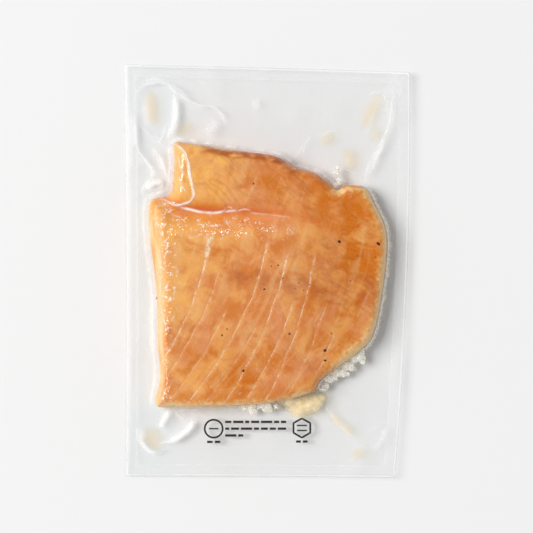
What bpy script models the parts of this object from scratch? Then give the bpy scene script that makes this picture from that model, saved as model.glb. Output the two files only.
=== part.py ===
"""A portion of salmon fillet sealed in a clear pouch, lying flat with its cut face up.

The sealed pouch is one closed solid. A thin sheet, with its seals, creases and pockets,
runs all round the fish, and the fish bulges up and down from that sheet under film drawn
tight. The fold across the fish, its bevelled side, its flakes, the crumbs of fat and the
blob of jelly beside it are relief in the solid. The origin is on the table, under the
middle of the pouch. X runs to the right, Y away and Z up.

Sizes below are in millimetres. The mesh is in metres.
"""

import math

import bmesh
import bpy
import numpy as np
from mathutils import Vector
from mathutils.geometry import delaunay_2d_cdt

MILLIMETRE = 0.001

# Pouch: its corners, and how far each side's middle bows outwards
POUCH_CORNERS = ((-80.0, 115.5), (79.85, 111.0), (71.5, -115.5), (-79.2, -114.8))
POUCH_BOWS = (0.3, 2.7, -0.3, -1.0)
SHEET_THICKNESS = 0.6
SEAL_WIDTH = 6.6
SEAL_STEP = 0.15
SEAL_BEAD = 0.15
SEAL_BEAD_WIDTH = 1.6

# Height of the sheet's middle: where it leaves the fish, and round its rim
SEAM_HEIGHT = 5.0
RIM_HEIGHT = 3.2
RIM_TILT = 1.5
SHEET_WAVE = 0.45
DROOP_LENGTH = 26.0

# Fish: its outline from the far left corner, clockwise
FISH_OUTLINE = (
    (-51.5, 71.4), (-42.0, 71.2), (-18.0, 67.6), (4.5, 64.4), (15.7, 57.9), (26.0, 55.2),
    (33.5, 50.2), (39.3, 45.6), (44.5, 48.2), (55.0, 46.3), (61.3, 35.8), (66.3, 24.6),
    (67.3, 11.8), (65.3, -8.2), (61.0, -31.0), (55.6, -41.6), (39.7, -54.2), (30.5, -61.0),
    (26.0, -67.3), (8.8, -72.5), (-13.6, -75.4), (-55.9, -76.4), (-61.4, -75.6),
    (-62.4, -71.5), (-60.0, -59.0), (-61.2, -38.6), (-61.9, -11.0), (-65.2, 14.0),
    (-66.4, 31.0), (-64.8, 39.8), (-56.4, 42.0), (-53.4, 45.2), (-51.8, 60.0),
)
FISH_HEIGHT = 20.5
RIGHT_FALL = 4.6
FRONT_FALL = 3.0
SWELL = 0.7

# The fold across the fish, from the notch in its left side to where it dies out
FOLD_LINE = (
    (-59.5, 41.4), (-49.0, 35.9), (-37.4, 33.7), (-23.4, 32.9), (-9.4, 32.5), (4.6, 32.0),
    (13.0, 30.9), (24.2, 28.6), (32.6, 25.2), (41.0, 19.4), (46.6, 12.9), (50.0, 5.0),
)
FOLD_DEPTH = 7.2
FOLD_NEAR_REACH = 7.5
FOLD_FAR_REACH = 5.0
LOBE_DROP = 2.6
CREST_RISE = 0.8
CREST_OFFSET = 14.0

# Side walls: how far in the upper face rounds over, and how square that rounding is
WALL_REACH = 5.0
LEFT_WALL_EXTRA = 4.5
SQUARE_WALL = 2.5
BEVELLED_WALL = 1.7
FILLET_HEIGHT = 1.8
FILLET_REACH = 3.0
BASE_REACH = 6.0

# Flakes: the sheets of tissue between them meet the upper face along lines that lean to
# the left towards the front. Each line: (x at the datum, y of its far end, share of the lean)
FLAKES = (
    (-31.2, 21.0, 0.93), (-21.7, 0.0, 1.0), (-9.9, -20.0, 1.0), (0.9, 17.0, 1.0),
    (10.8, -30.0, 1.0), (12.7, 10.0, 0.8), (23.1, -16.0, 0.79), (27.6, 8.0, 0.64),
    (39.9, -18.0, 0.68), (50.5, -34.0, 0.7),
)
FLAKE_DATUM_Y = 17.4
FLAKE_LEAN = 0.18
FLAKE_CURVE = 0.0035
FLAKE_GROOVE = 0.3
FLAKE_BANK = 1.4
FLAKE_FADE = 7.0
FLAKE_EDGE_GAP = 5.0

# Creases in the film: (points, height, half width)
CREASES = {
    "tuck_over_lobe": (
        ((-56.6, 71.7), (-52.8, 70.9), (-48.0, 68.4), (-44.7, 64.4), (-43.0, 58.0),
         (-42.4, 52.4), (-40.9, 46.8), (-40.2, 42.0), (-42.4, 38.4), (-46.5, 37.0),
         (-50.0, 36.4), (-53.8, 38.1), (-60.5, 41.2)),
        1.0, 1.6,
    ),
    "fold_thread": (
        ((-49.3, 35.6), (-43.0, 34.2), (-36.0, 32.6), (-29.0, 32.2), (-22.8, 33.0),
         (-16.0, 33.6)),
        0.9, 1.7,
    ),
    "far_left_sweep": (
        ((-72.7, 98.0), (-70.0, 103.0), (-60.5, 105.2), (-53.1, 101.9), (-47.5, 97.4),
         (-37.4, 92.4), (-30.1, 91.3), (-25.1, 87.4), (-22.3, 80.0)),
        0.8, 2.0,
    ),
    "far_left_strut": (
        ((-51.9, 99.7), (-50.8, 91.3), (-51.4, 84.6), (-53.1, 79.0), (-55.3, 72.2)),
        0.9, 2.1,
    ),
    "left_sweep": (
        ((-73.6, 87.4), (-73.2, 73.4), (-71.0, 66.1), (-64.8, 57.7), (-63.7, 53.2),
         (-67.1, 48.7), (-69.3, 44.8), (-67.6, 40.3)),
        0.9, 2.0,
    ),
    "left_loop": (
        ((-65.4, 44.7), (-59.8, 46.5), (-58.1, 48.7), (-60.9, 51.0), (-65.9, 49.2)),
        0.8, 1.4,
    ),
    "far_right_strut": (
        ((70.3, 100.4), (69.8, 89.0), (67.9, 80.1), (62.3, 68.3), (57.8, 60.5),
         (55.6, 53.8), (55.0, 48.2)),
        1.0, 1.6,
    ),
    "front_left_loop": (
        ((-40.7, -81.8), (-43.0, -86.8), (-47.5, -91.8), (-54.2, -95.2), (-60.5, -96.3)),
        1.2, 2.4,
    ),
    "front_left_strut": (
        ((-54.2, -77.3), (-57.5, -83.4), (-59.8, -87.9)),
        1.0, 1.8,
    ),
    "front_left_pocket": (
        ((-72.4, -87.4), (-71.5, -94.6), (-67.1, -100.2), (-60.9, -101.9), (-57.0, -98.6)),
        0.7, 1.6,
    ),
    "front_right_strut": (
        ((29.8, -70.0), (33.2, -76.2), (39.9, -85.1), (48.3, -93.0)),
        0.6, 1.6,
    ),
}

# Pockets that the film bulges over: (centre x, centre y, half length, half width, turn, height)
POCKETS = (
    (-63.7, 88.5, 15.5, 8.5, 90.0, 1.1),
    (-39.0, 84.0, 14.0, 7.0, -20.0, 0.8),
    (-68.0, 62.0, 12.0, 6.0, 80.0, 0.9),
    (-50.5, -86.0, 12.0, 7.0, 52.0, 1.4),
    (-65.2, -94.0, 8.0, 5.5, 115.0, 1.2),
    (61.0, 84.0, 17.0, 5.0, 62.0, 1.0),
    (47.4, 61.0, 6.0, 4.5, 120.0, 0.9),
    (52.0, -92.0, 15.0, 5.0, -45.0, 0.7),
)

# Crumbs of fat and the jelly, beside the fish: (x, y, radius, height above the sheet)
CRUMBS = (
    (17.5, -76.5, 6.5, 3.6), (26.5, -74.5, 6.0, 4.4), (13.0, -73.5, 4.5, 3.0),
    (51.8, -48.2, 3.6, 4.6), (47.0, -53.0, 2.8, 3.6), (42.6, -56.5, 3.0, 3.2),
    (37.6, -59.6, 2.4, 2.6), (33.0, -64.4, 2.2, 2.2), (-8.0, -76.8, 3.2, 2.6),
    (1.0, -76.0, 3.2, 2.8), (40.6, 50.2, 2.2, 4.0), (39.4, 54.4, 1.6, 2.8),
)

# Spacing of the mesh's points
OUTLINE_STEP = 3.4
LINE_STEP = 4.0
FISH_GRID = 4.0
SHEET_GRID = 7.0
BASE_GRID = 14.0
WALL_RINGS = (0.12, 0.7, 1.8, 3.4, 5.6)
FILLET_RINGS = (1.2, 3.0)
CRUMB_SIDES = 9
BASE_RINGS = (0.5, 1.8, 3.8)
GRID_CLEARANCE = 0.62

POUCH_COLOUR = (0.79, 0.42, 0.18, 1.0)
POUCH_ROUGHNESS = 0.22


def ramp(value, low, high):
    """0 up to low, 1 from high on, and a smooth rise between them."""
    t = np.clip((value - low) / (high - low), 0.0, 1.0)
    return t * t * (3.0 - 2.0 * t)


def smooth_path(points, step, closed=False):
    """Points about a step apart along the Catmull-Rom curve through the given points."""
    knots = [np.array(p, float) for p in points]
    count = len(knots)
    spans = count if closed else count - 1
    path = []
    for i in range(spans):
        if closed:
            a, b, c, d = (knots[(i + k) % count] for k in (-1, 0, 1, 2))
        else:
            b, c = knots[i], knots[i + 1]
            a = knots[i - 1] if i > 0 else 2 * b - c
            d = knots[i + 2] if i + 2 < count else 2 * c - b
        pieces = max(1, round(float(np.linalg.norm(c - b)) / step))
        for k in range(pieces):
            t = k / pieces
            path.append(
                0.5 * (2 * b + (c - a) * t + (2 * a - 5 * b + 4 * c - d) * t**2
                       + (3 * b - a - 3 * c + d) * t**3)
            )
    if not closed:
        path.append(knots[-1])
    return np.array(path)


def bowed_outline(corners, bows, step):
    """The pouch's rim, clockwise: four sides between the corners, each a shallow arc."""
    path = []
    for i, corner in enumerate(corners):
        start = np.array(corner)
        end = np.array(corners[(i + 1) % len(corners)])
        side = end - start
        outwards = np.array((-side[1], side[0])) / np.linalg.norm(side)
        pieces = round(float(np.linalg.norm(side)) / step)
        for k in range(pieces):
            t = k / pieces
            path.append(start + side * t + outwards * bows[i] * 4 * t * (1 - t))
    return np.array(path)


def near(path, xy, closed=False):
    """Each point's distance to the path, its place along it from 0 to 1, and its side:
    1 to the left of the path's direction and -1 to the right."""
    starts = path
    ends = np.roll(path, -1, axis=0)
    if not closed:
        starts, ends = starts[:-1], ends[:-1]
    runs = ends - starts
    lengths = np.hypot(runs[:, 0], runs[:, 1])
    before = np.concatenate(([0.0], np.cumsum(lengths)[:-1]))
    best = np.full(len(xy), np.inf)
    along = np.zeros(len(xy))
    side = np.ones(len(xy))
    for start, run, length, passed in zip(starts, runs, lengths, before):
        offset = xy - start
        t = np.clip(offset @ run / max(length * length, 1e-9), 0.0, 1.0)
        gap = offset - t[:, None] * run
        distance = np.hypot(gap[:, 0], gap[:, 1])
        closer = distance < best
        best[closer] = distance[closer]
        along[closer] = (passed + t[closer] * length) / lengths.sum()
        turn = run[0] * offset[:, 1] - run[1] * offset[:, 0]
        side[closer] = np.where(turn[closer] >= 0, 1.0, -1.0)
    return best, along, side


def inside(loop, xy):
    """True for each point within the closed loop."""
    found = np.zeros(len(xy), bool)
    for (x0, y0), (x1, y1) in zip(loop, np.roll(loop, -1, axis=0)):
        spans = (y0 > xy[:, 1]) != (y1 > xy[:, 1])
        rise = (y1 - y0) if y1 != y0 else 1e-9
        found ^= spans & (xy[:, 0] < (x1 - x0) * (xy[:, 1] - y0) / rise + x0)
    return found


def depth_within(loop, xy):
    """Distance to a closed loop, positive within it and negative outside."""
    distance = near(loop, xy, closed=True)[0]
    return np.where(inside(loop, xy), distance, -distance)


def shifted(loop, depth):
    """A clockwise loop moved inwards by depth, or outwards if depth is negative, without
    the points that would then lie too near it."""
    tangent = np.roll(loop, -1, axis=0) - np.roll(loop, 1, axis=0)
    tangent /= np.hypot(tangent[:, 0], tangent[:, 1])[:, None]
    inwards = np.stack((tangent[:, 1], -tangent[:, 0]), axis=1)
    moved = loop + inwards * depth
    return moved[near(loop, moved, closed=True)[0] > 0.97 * abs(depth)]


POUCH_LOOP = bowed_outline(POUCH_CORNERS, POUCH_BOWS, OUTLINE_STEP)
FISH_LOOP = smooth_path(FISH_OUTLINE, OUTLINE_STEP, closed=True)
FOLD_PATH = smooth_path(FOLD_LINE, LINE_STEP)


def flake_line(flake_x, lean, y):
    """The x at which a flake line crosses y."""
    down = FLAKE_DATUM_Y - y
    return flake_x - lean * (FLAKE_LEAN * down + FLAKE_CURVE * down * np.abs(down))


def flake_grooves(xy, depth):
    """Depth of the grooves that mark the flakes."""
    x, y = xy[:, 0], xy[:, 1]
    groove = np.zeros(len(xy))
    for flake_x, far_y, lean in FLAKES:
        across = np.abs(x - flake_line(flake_x, lean, y))
        fade = ramp(far_y - y, 0.0, FLAKE_FADE)
        groove = np.maximum(groove, fade * (1.0 - across / FLAKE_BANK))
    return FLAKE_GROOVE * np.clip(groove, 0.0, 1.0) * ramp(depth, 2.0, FLAKE_EDGE_GAP)


def fold_relief(xy):
    """What the fold adds to the upper face: its valley, the crest and the lower lobe."""
    distance, along, side = near(FOLD_PATH, xy)
    across = distance * side
    fading = 1.0 - ramp(along, 0.15, 1.0)
    reach = np.where(across > 0, FOLD_FAR_REACH, FOLD_NEAR_REACH)
    valley = FOLD_DEPTH * fading * np.exp(-((across / reach) ** 2))
    lobe = LOBE_DROP * ramp(across, 0.0, 14.0) * (1.0 - ramp(along, 0.55, 1.0))
    crest = CREST_RISE * fading * np.exp(-(((across + CREST_OFFSET) / 8.0) ** 2))
    return crest - valley - lobe


def upper_face(xy):
    """Height of the fish's upper face, before its edges round over."""
    x, y = xy[:, 0], xy[:, 1]
    falls = RIGHT_FALL * ramp(x, 5.0, 66.0) + FRONT_FALL * ramp(-y, 20.0, 76.0)
    swell = SWELL * np.sin(x / 17.0 + 0.6) * np.cos(y / 21.0)
    return FISH_HEIGHT - falls + swell + fold_relief(xy)


def sheet_middle(xy, depth):
    """Height of the middle of the sheet that surrounds the fish."""
    x, y = xy[:, 0], xy[:, 1]
    rim = RIM_HEIGHT + RIM_TILT * x / 80.0
    rim = rim + SHEET_WAVE * np.sin(x / 23.0 + 1.1) * np.cos(y / 31.0 - 0.4)
    near_fish = np.exp(-np.maximum(-depth, 0.0) / DROOP_LENGTH)
    return rim + (SEAM_HEIGHT - rim) * near_fish


def crumb_relief(xy):
    """Height of the crumbs and the jelly above the sheet."""
    height = np.zeros(len(xy))
    for x, y, radius, rise in CRUMBS:
        share = np.hypot(xy[:, 0] - x, xy[:, 1] - y) / radius
        height = np.maximum(height, rise * np.sqrt(np.clip(1.0 - share**2, 0.0, 1.0)))
    return height


def pocket_relief(xy):
    """Height that the pockets add to the sheet."""
    height = np.zeros(len(xy))
    for x, y, half_length, half_width, turn, rise in POCKETS:
        c, s = math.cos(math.radians(turn)), math.sin(math.radians(turn))
        dx, dy = xy[:, 0] - x, xy[:, 1] - y
        share = np.hypot((dx * c + dy * s) / half_length, (dy * c - dx * s) / half_width)
        height = np.maximum(height, rise * (1.0 - ramp(share, 0.0, 1.0)))
    return height


def crease_taper(along):
    """How much of its height and width a crease has, by its place along it."""
    return ramp(along, -0.05, 0.2) * (1.0 - ramp(along, 0.8, 1.05))


def crease_relief(xy):
    """Height of the creases in the film, each tapering towards its ends."""
    height = np.zeros(len(xy))
    for points, rise, half_width in CREASES.values():
        distance, along, _ = near(smooth_path(points, LINE_STEP), xy)
        taper = crease_taper(along)
        share = distance / (half_width * np.maximum(taper, 0.1))
        height = np.maximum(height, rise * taper * (1.0 - ramp(share, 0.0, 1.0)))
    return height


def seal_relief(xy):
    """The pressed seal along the rim: a step down, with a bead along its inner edge."""
    to_rim = near(POUCH_LOOP, xy, closed=True)[0]
    step = -SEAL_STEP * (1.0 - ramp(to_rim, SEAL_WIDTH - 0.8, SEAL_WIDTH))
    bead = SEAL_BEAD * (1.0 - ramp(np.abs(to_rim - SEAL_WIDTH), 0.0, SEAL_BEAD_WIDTH))
    return step + bead


def top_height(xy):
    """Height of the pouch's upper film."""
    depth = depth_within(FISH_LOOP, xy)
    x, y = xy[:, 0], xy[:, 1]
    left = ramp(-x, 38.0, 58.0)
    sheet = sheet_middle(xy, depth) + SHEET_THICKNESS / 2
    outside = np.maximum(-depth, 0.0)
    fillet = FILLET_HEIGHT * np.clip(1.0 - outside / FILLET_REACH, 0.0, 1.0) ** 2
    crumbs = crumb_relief(xy)
    lumps = np.maximum(pocket_relief(xy), np.maximum(fillet, crumbs))
    margin = sheet + seal_relief(xy) + lumps
    reach = WALL_REACH + left * LEFT_WALL_EXTRA * ramp(y, -75.0, 35.0)
    power = SQUARE_WALL + (BEVELLED_WALL - SQUARE_WALL) * left
    share = np.clip(depth / reach, 0.0, 1.0)
    rounding = (1.0 - (1.0 - share) ** power) ** (1.0 / power)
    foot = sheet + FILLET_HEIGHT
    body = foot + (upper_face(xy) - foot) * rounding - flake_grooves(xy, depth)
    body = np.maximum(body, sheet + crumbs)
    return np.where(depth > 0, body, margin) + crease_relief(xy)


def bottom_height(xy):
    """Height of the pouch's lower film: flat on the table under the fish."""
    depth = depth_within(FISH_LOOP, xy)
    sheet = sheet_middle(xy, depth) - SHEET_THICKNESS / 2
    share = np.clip(depth / BASE_REACH, 0.0, 1.0)
    rounding = 1.0 - (1.0 - (1.0 - share) ** SQUARE_WALL) ** (1.0 / SQUARE_WALL)
    outside = np.maximum(-depth, 0.0)
    fillet = FILLET_HEIGHT * np.clip(1.0 - outside / FILLET_REACH, 0.0, 1.0) ** 2
    foot = sheet - FILLET_HEIGHT
    return np.where(depth > 0, foot * rounding, sheet - fillet)


def hexagonal_grid(low, high, spacing):
    """Points of a triangular grid over a rectangle."""
    rows = []
    row_height = spacing * math.sqrt(3) / 2
    for i, y in enumerate(np.arange(low[1], high[1], row_height)):
        x = np.arange(low[0] + (i % 2) * spacing / 2, high[0], spacing)
        rows.append(np.stack((x, np.full(len(x), y)), axis=1))
    return np.concatenate(rows)


def leftwards(path):
    """The unit direction to the left of a path at each of its points."""
    run = np.gradient(path, axis=0)
    run /= np.hypot(run[:, 0], run[:, 1])[:, None]
    return np.stack((-run[:, 1], run[:, 0]), axis=1)


def crease_lines():
    """Each crease's ridge and the two lines where it starts to rise."""
    lines = []
    for points, _, half_width in CREASES.values():
        path = smooth_path(points, LINE_STEP)
        taper = crease_taper(np.linspace(0.0, 1.0, len(path)))
        across = leftwards(path) * (half_width * taper)[:, None]
        lines += [path, (path + across)[1:-1], (path - across)[1:-1]]
    return lines


def flake_lines():
    """Each flake groove's floor and its two banks, where they lie well within the fish."""
    lines = []
    for flake_x, far_y, lean in FLAKES:
        y = np.arange(-74.0, far_y, LINE_STEP)
        floor = np.stack((flake_line(flake_x, lean, y), y), axis=1)
        floor = floor[depth_within(FISH_LOOP, floor) > 0.7 * FLAKE_EDGE_GAP]
        for bank in (0.0, -FLAKE_BANK, FLAKE_BANK):
            lines.append(floor + (bank, 0.0))
    return lines


def fold_lines():
    """The fold's floor and lines along its slopes."""
    across = leftwards(FOLD_PATH)
    return [FOLD_PATH + across * s for s in (-9.0, -4.5, 0.0, 3.0, 6.5)]


def crumb_loops():
    """Two rings round each crumb."""
    loops = []
    for x, y, radius, _ in CRUMBS:
        turns = np.arange(0.0, 2 * math.pi, 2 * math.pi / CRUMB_SIDES)
        ring = np.stack((np.cos(turns), np.sin(turns)), axis=1) * radius
        loops += [ring + (x, y), ring * 0.72 + (x, y)]
    return loops


def triangulated(rim, loops, lines, grids):
    """A flat triangle mesh within the rim. Its edges follow the loops and lines, and grid
    points fill the rest: each grid is (points, spacing)."""
    points = [rim]
    edges = []
    start = 0
    for path, closed in [(rim, True)] + [(p, True) for p in loops] + [(p, False) for p in lines]:
        if path is not rim:
            points.append(path)
        count = len(path)
        ends = count if closed else count - 1
        edges += [(start + i, start + (i + 1) % count) for i in range(ends)]
        start += count
    fixed = np.concatenate(points)
    for grid, spacing in grids:
        gaps = [np.hypot(*(fixed - p).T).min() for p in grid]
        clear = grid[np.array(gaps) > GRID_CLEARANCE * spacing]
        points.append(clear[inside(rim, clear)])
    flat = [Vector(p) for p in np.concatenate(points)]
    made = delaunay_2d_cdt(flat, edges, [], 0, 1e-5, False)
    xy = np.array([tuple(v) for v in made[0]])
    faces = np.array(made[2])
    return xy, faces[inside(rim, xy[faces].mean(axis=1))]


def on_rim(xy, rim):
    """The index in xy of each of the rim's points."""
    return [int(np.hypot(*(xy - p).T).argmin()) for p in rim]


def build_pouch():
    """Joins the upper and lower films along the rim into one closed solid."""
    low, high = POUCH_LOOP.min(axis=0), POUCH_LOOP.max(axis=0)
    fish_grid = hexagonal_grid(low, high, FISH_GRID)
    fish_grid = fish_grid[depth_within(FISH_LOOP, fish_grid) > 0]
    sheet_grid = hexagonal_grid(low, high, SHEET_GRID)
    sheet_grid = sheet_grid[depth_within(FISH_LOOP, sheet_grid) < 0]
    seal_loops = [shifted(POUCH_LOOP, SEAL_WIDTH + k * SEAL_BEAD_WIDTH) for k in (-1, 0, 1)]
    wall_loops = [shifted(FISH_LOOP, depth) for depth in WALL_RINGS]
    fillet_loops = [shifted(FISH_LOOP, -reach) for reach in FILLET_RINGS]
    top_xy, top_faces = triangulated(
        POUCH_LOOP,
        [FISH_LOOP] + seal_loops + wall_loops + fillet_loops + crumb_loops(),
        crease_lines() + flake_lines() + fold_lines(),
        [(fish_grid, FISH_GRID), (sheet_grid, SHEET_GRID)],
    )
    base_loops = [shifted(FISH_LOOP, depth) for depth in BASE_RINGS + (BASE_REACH,)]
    bottom_xy, bottom_faces = triangulated(
        POUCH_LOOP,
        [FISH_LOOP] + base_loops + fillet_loops,
        [],
        [(hexagonal_grid(low, high, BASE_GRID), BASE_GRID)],
    )
    mesh = bmesh.new()
    tops = [mesh.verts.new((*p, z)) for p, z in zip(top_xy, top_height(top_xy))]
    bottoms = [mesh.verts.new((*p, z)) for p, z in zip(bottom_xy, bottom_height(bottom_xy))]
    for a, b, c in top_faces:
        mesh.faces.new((tops[a], tops[b], tops[c]))
    for a, b, c in bottom_faces:
        mesh.faces.new((bottoms[c], bottoms[b], bottoms[a]))
    upper_rim = [tops[i] for i in on_rim(top_xy, POUCH_LOOP)]
    lower_rim = [bottoms[i] for i in on_rim(bottom_xy, POUCH_LOOP)]
    for i, vert in enumerate(upper_rim):
        j = (i + 1) % len(upper_rim)
        mesh.faces.new((vert, upper_rim[j], lower_rim[j], lower_rim[i]))
    bmesh.ops.delete(mesh, geom=[v for v in mesh.verts if not v.link_faces], context="VERTS")
    bmesh.ops.recalc_face_normals(mesh, faces=mesh.faces)
    bmesh.ops.scale(mesh, vec=(MILLIMETRE,) * 3, verts=mesh.verts)
    return mesh


def pouch_material():
    """Salmon seen through clear glossy film."""
    material = bpy.data.materials.new("salmon_in_clear_film")
    material.use_nodes = True
    shader = material.node_tree.nodes["Principled BSDF"]
    shader.inputs["Base Color"].default_value = POUCH_COLOUR
    shader.inputs["Roughness"].default_value = POUCH_ROUGHNESS
    shader.inputs["Metallic"].default_value = 0.0
    return material


def main():
    for obj in list(bpy.data.objects):
        bpy.data.objects.remove(obj)
    mesh = build_pouch()
    data = bpy.data.meshes.new("sealed_pouch")
    mesh.to_mesh(data)
    mesh.free()
    data.materials.append(pouch_material())
    data.shade_smooth()
    data.set_sharp_from_angle(angle=math.radians(50))
    pouch = bpy.data.objects.new("sealed_pouch", data)
    bpy.context.scene.collection.objects.link(pouch)


main()
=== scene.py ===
"""A portion of salmon fillet sealed in a clear pouch, lying on a white floor.

The solid of the sealed pouch is replaced by the film, the fish, and what lies between them:
a fringe and crumbs of fat, a blob of jelly, dried brine, air bubbles, specks of pepper and
the plain marks printed on the film. Every height comes from the same few functions, so the
film follows the fish and each small piece lies where the film leaves room for it.

Sizes are in millimetres and the meshes in metres. X runs right, Y away and Z up.
"""

import math
import random

import bmesh
import bpy
import numpy as np
from mathutils import Matrix, Vector, kdtree, noise
from mathutils.geometry import delaunay_2d_cdt


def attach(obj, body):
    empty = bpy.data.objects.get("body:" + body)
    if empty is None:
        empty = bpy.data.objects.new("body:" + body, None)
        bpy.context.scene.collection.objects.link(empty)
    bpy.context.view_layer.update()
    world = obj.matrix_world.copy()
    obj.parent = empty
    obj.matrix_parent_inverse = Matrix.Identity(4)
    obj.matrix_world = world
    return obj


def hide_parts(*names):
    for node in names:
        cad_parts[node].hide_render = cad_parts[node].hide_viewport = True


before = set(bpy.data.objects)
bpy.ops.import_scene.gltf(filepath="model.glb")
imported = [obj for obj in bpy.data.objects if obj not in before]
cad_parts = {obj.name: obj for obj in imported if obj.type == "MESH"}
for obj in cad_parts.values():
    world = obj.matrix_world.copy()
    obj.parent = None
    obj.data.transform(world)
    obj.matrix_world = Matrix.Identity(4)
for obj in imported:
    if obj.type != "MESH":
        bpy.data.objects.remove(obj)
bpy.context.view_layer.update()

MILLIMETRE = 0.001
NODE = "sealed_pouch"

# Pouch, sheet and seals, as in the solid. Only the seal's step and bead are lower here,
# because clear film with a steep step looks grey
POUCH_CORNERS = ((-80.0, 115.5), (79.85, 111.0), (71.5, -115.5), (-79.2, -114.8))
POUCH_BOWS = (0.3, 2.7, -0.3, -1.0)
SHEET_THICKNESS = 0.6
SEAL_WIDTH = 6.6
SEAL_STEP = 0.06
SEAL_BEAD = 0.05
SEAL_BEAD_WIDTH = 1.6
SEAM_HEIGHT = 5.0
RIM_HEIGHT = 3.2
RIM_TILT = 1.5
SHEET_WAVE = 0.45
DROOP_LENGTH = 26.0

# Fish, as in the solid
FISH_OUTLINE = (
    (-51.5, 71.4), (-42.0, 71.2), (-18.0, 67.6), (4.5, 64.4), (15.7, 57.9), (26.0, 55.2),
    (33.5, 50.2), (39.3, 45.6), (44.5, 48.2), (55.0, 46.3), (61.3, 35.8), (66.3, 24.6),
    (67.3, 11.8), (65.3, -8.2), (61.0, -31.0), (55.6, -41.6), (39.7, -54.2), (30.5, -61.0),
    (26.0, -67.3), (8.8, -72.5), (-13.6, -75.4), (-55.9, -76.4), (-61.4, -75.6),
    (-62.4, -71.5), (-60.0, -59.0), (-61.2, -38.6), (-61.9, -11.0), (-65.2, 14.0),
    (-66.4, 31.0), (-64.8, 39.8), (-56.4, 42.0), (-53.4, 45.2), (-51.8, 60.0),
)
FISH_HEIGHT = 20.5
RIGHT_FALL = 4.6
FRONT_FALL = 3.0
SWELL = 0.7
FOLD_LINE = (
    (-59.5, 41.4), (-49.0, 35.9), (-37.4, 33.7), (-23.4, 32.9), (-9.4, 32.5), (4.6, 32.0),
    (13.0, 30.9), (24.2, 28.6), (32.6, 25.2), (41.0, 19.4), (46.6, 12.9), (50.0, 5.0),
)
FOLD_DEPTH = 7.2
FOLD_NEAR_REACH = 7.5
FOLD_FAR_REACH = 5.0
LOBE_DROP = 2.6
CREST_RISE = 0.8
CREST_OFFSET = 14.0
CREST_REACH = 8.0
WALL_REACH = 5.0
LEFT_WALL_EXTRA = 4.5
SQUARE_WALL = 2.5
BEVELLED_WALL = 1.7
FILLET_HEIGHT = 1.8
FILLET_REACH = 3.0
BASE_REACH = 6.0

# Flake lines: (x at the datum, y of the far end, share of the lean), as in the solid, then
# how strongly each shows and how wide it is at its far end. The grooves are shallower and
# narrower here than in the solid, and the lines waver a little more
FLAKES = (
    (-31.2, 21.0, 0.93, 1.0, 1.4), (-21.7, 0.0, 1.0, 0.55, 0.15), (-9.9, -20.0, 1.0, 0.6, 0.15),
    (0.9, 17.0, 1.0, 0.8, 0.2), (10.8, -30.0, 1.0, 0.5, 0.1), (12.7, 10.0, 0.8, 0.8, 0.25),
    (23.1, -16.0, 0.79, 0.6, 0.15), (27.6, 8.0, 0.64, 0.7, 0.35), (39.9, -18.0, 0.68, 0.55, 0.15),
    (50.5, -34.0, 0.7, 0.5, 0.1),
)
FLAKE_DATUM_Y = 17.4
FLAKE_LEAN = 0.18
FLAKE_CURVE = 0.0035
FLAKE_GROOVE = 0.22
FLAKE_BANK = 1.0
FLAKE_WAVER = 0.8
FLAKE_FADE = 7.0
FLAKE_EDGE_GAP = 5.0

# Creases in the film: (points, height, half width). The first group is in the solid too.
# Here each has only this share of its height, because steep clear film looks grey
CREASE_SHARE = 0.55
CREASES = (
    (((-56.6, 71.7), (-52.8, 70.9), (-48.0, 68.4), (-44.7, 64.4), (-43.0, 58.0), (-42.4, 52.4),
      (-40.9, 46.8), (-40.2, 42.0), (-42.4, 38.4), (-46.5, 37.0), (-50.0, 36.4), (-53.8, 38.1),
      (-60.5, 41.2)), 1.0, 1.4),
    (((-49.3, 35.6), (-43.0, 34.2), (-36.0, 32.6), (-29.0, 32.2), (-22.8, 33.0), (-16.0, 33.6)),
     0.9, 1.7),
    (((-72.7, 98.0), (-70.0, 103.0), (-60.5, 105.2), (-53.1, 101.9), (-47.5, 97.4),
      (-37.4, 92.4), (-30.1, 91.3), (-25.1, 87.4), (-22.3, 80.0)), 0.8, 2.0),
    (((-51.9, 99.7), (-50.8, 91.3), (-51.4, 84.6), (-53.1, 79.0), (-55.3, 72.2)), 0.9, 2.1),
    (((-73.6, 87.4), (-73.2, 73.4), (-71.0, 66.1), (-64.8, 57.7), (-63.7, 53.2),
      (-67.1, 48.7), (-69.3, 44.8), (-67.6, 40.3)), 0.9, 2.0),
    (((-65.4, 44.7), (-59.8, 46.5), (-58.1, 48.7), (-60.9, 51.0), (-65.9, 49.2)), 0.8, 1.4),
    (((70.3, 100.4), (69.8, 89.0), (67.9, 80.1), (62.3, 68.3), (57.8, 60.5),
      (55.6, 53.8), (55.0, 48.2)), 1.0, 1.2),
    (((-40.7, -81.8), (-43.0, -86.8), (-47.5, -91.8), (-54.2, -95.2), (-60.5, -96.3)), 1.2, 2.4),
    (((-54.2, -77.3), (-57.5, -83.4), (-59.8, -87.9)), 1.0, 1.8),
    (((-72.4, -87.4), (-71.5, -94.6), (-67.1, -100.2), (-60.9, -101.9), (-57.0, -98.6)), 0.7, 1.6),
    (((29.8, -70.0), (33.2, -76.2), (39.9, -85.1), (48.3, -93.0)), 0.3, 1.6),
)
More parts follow.
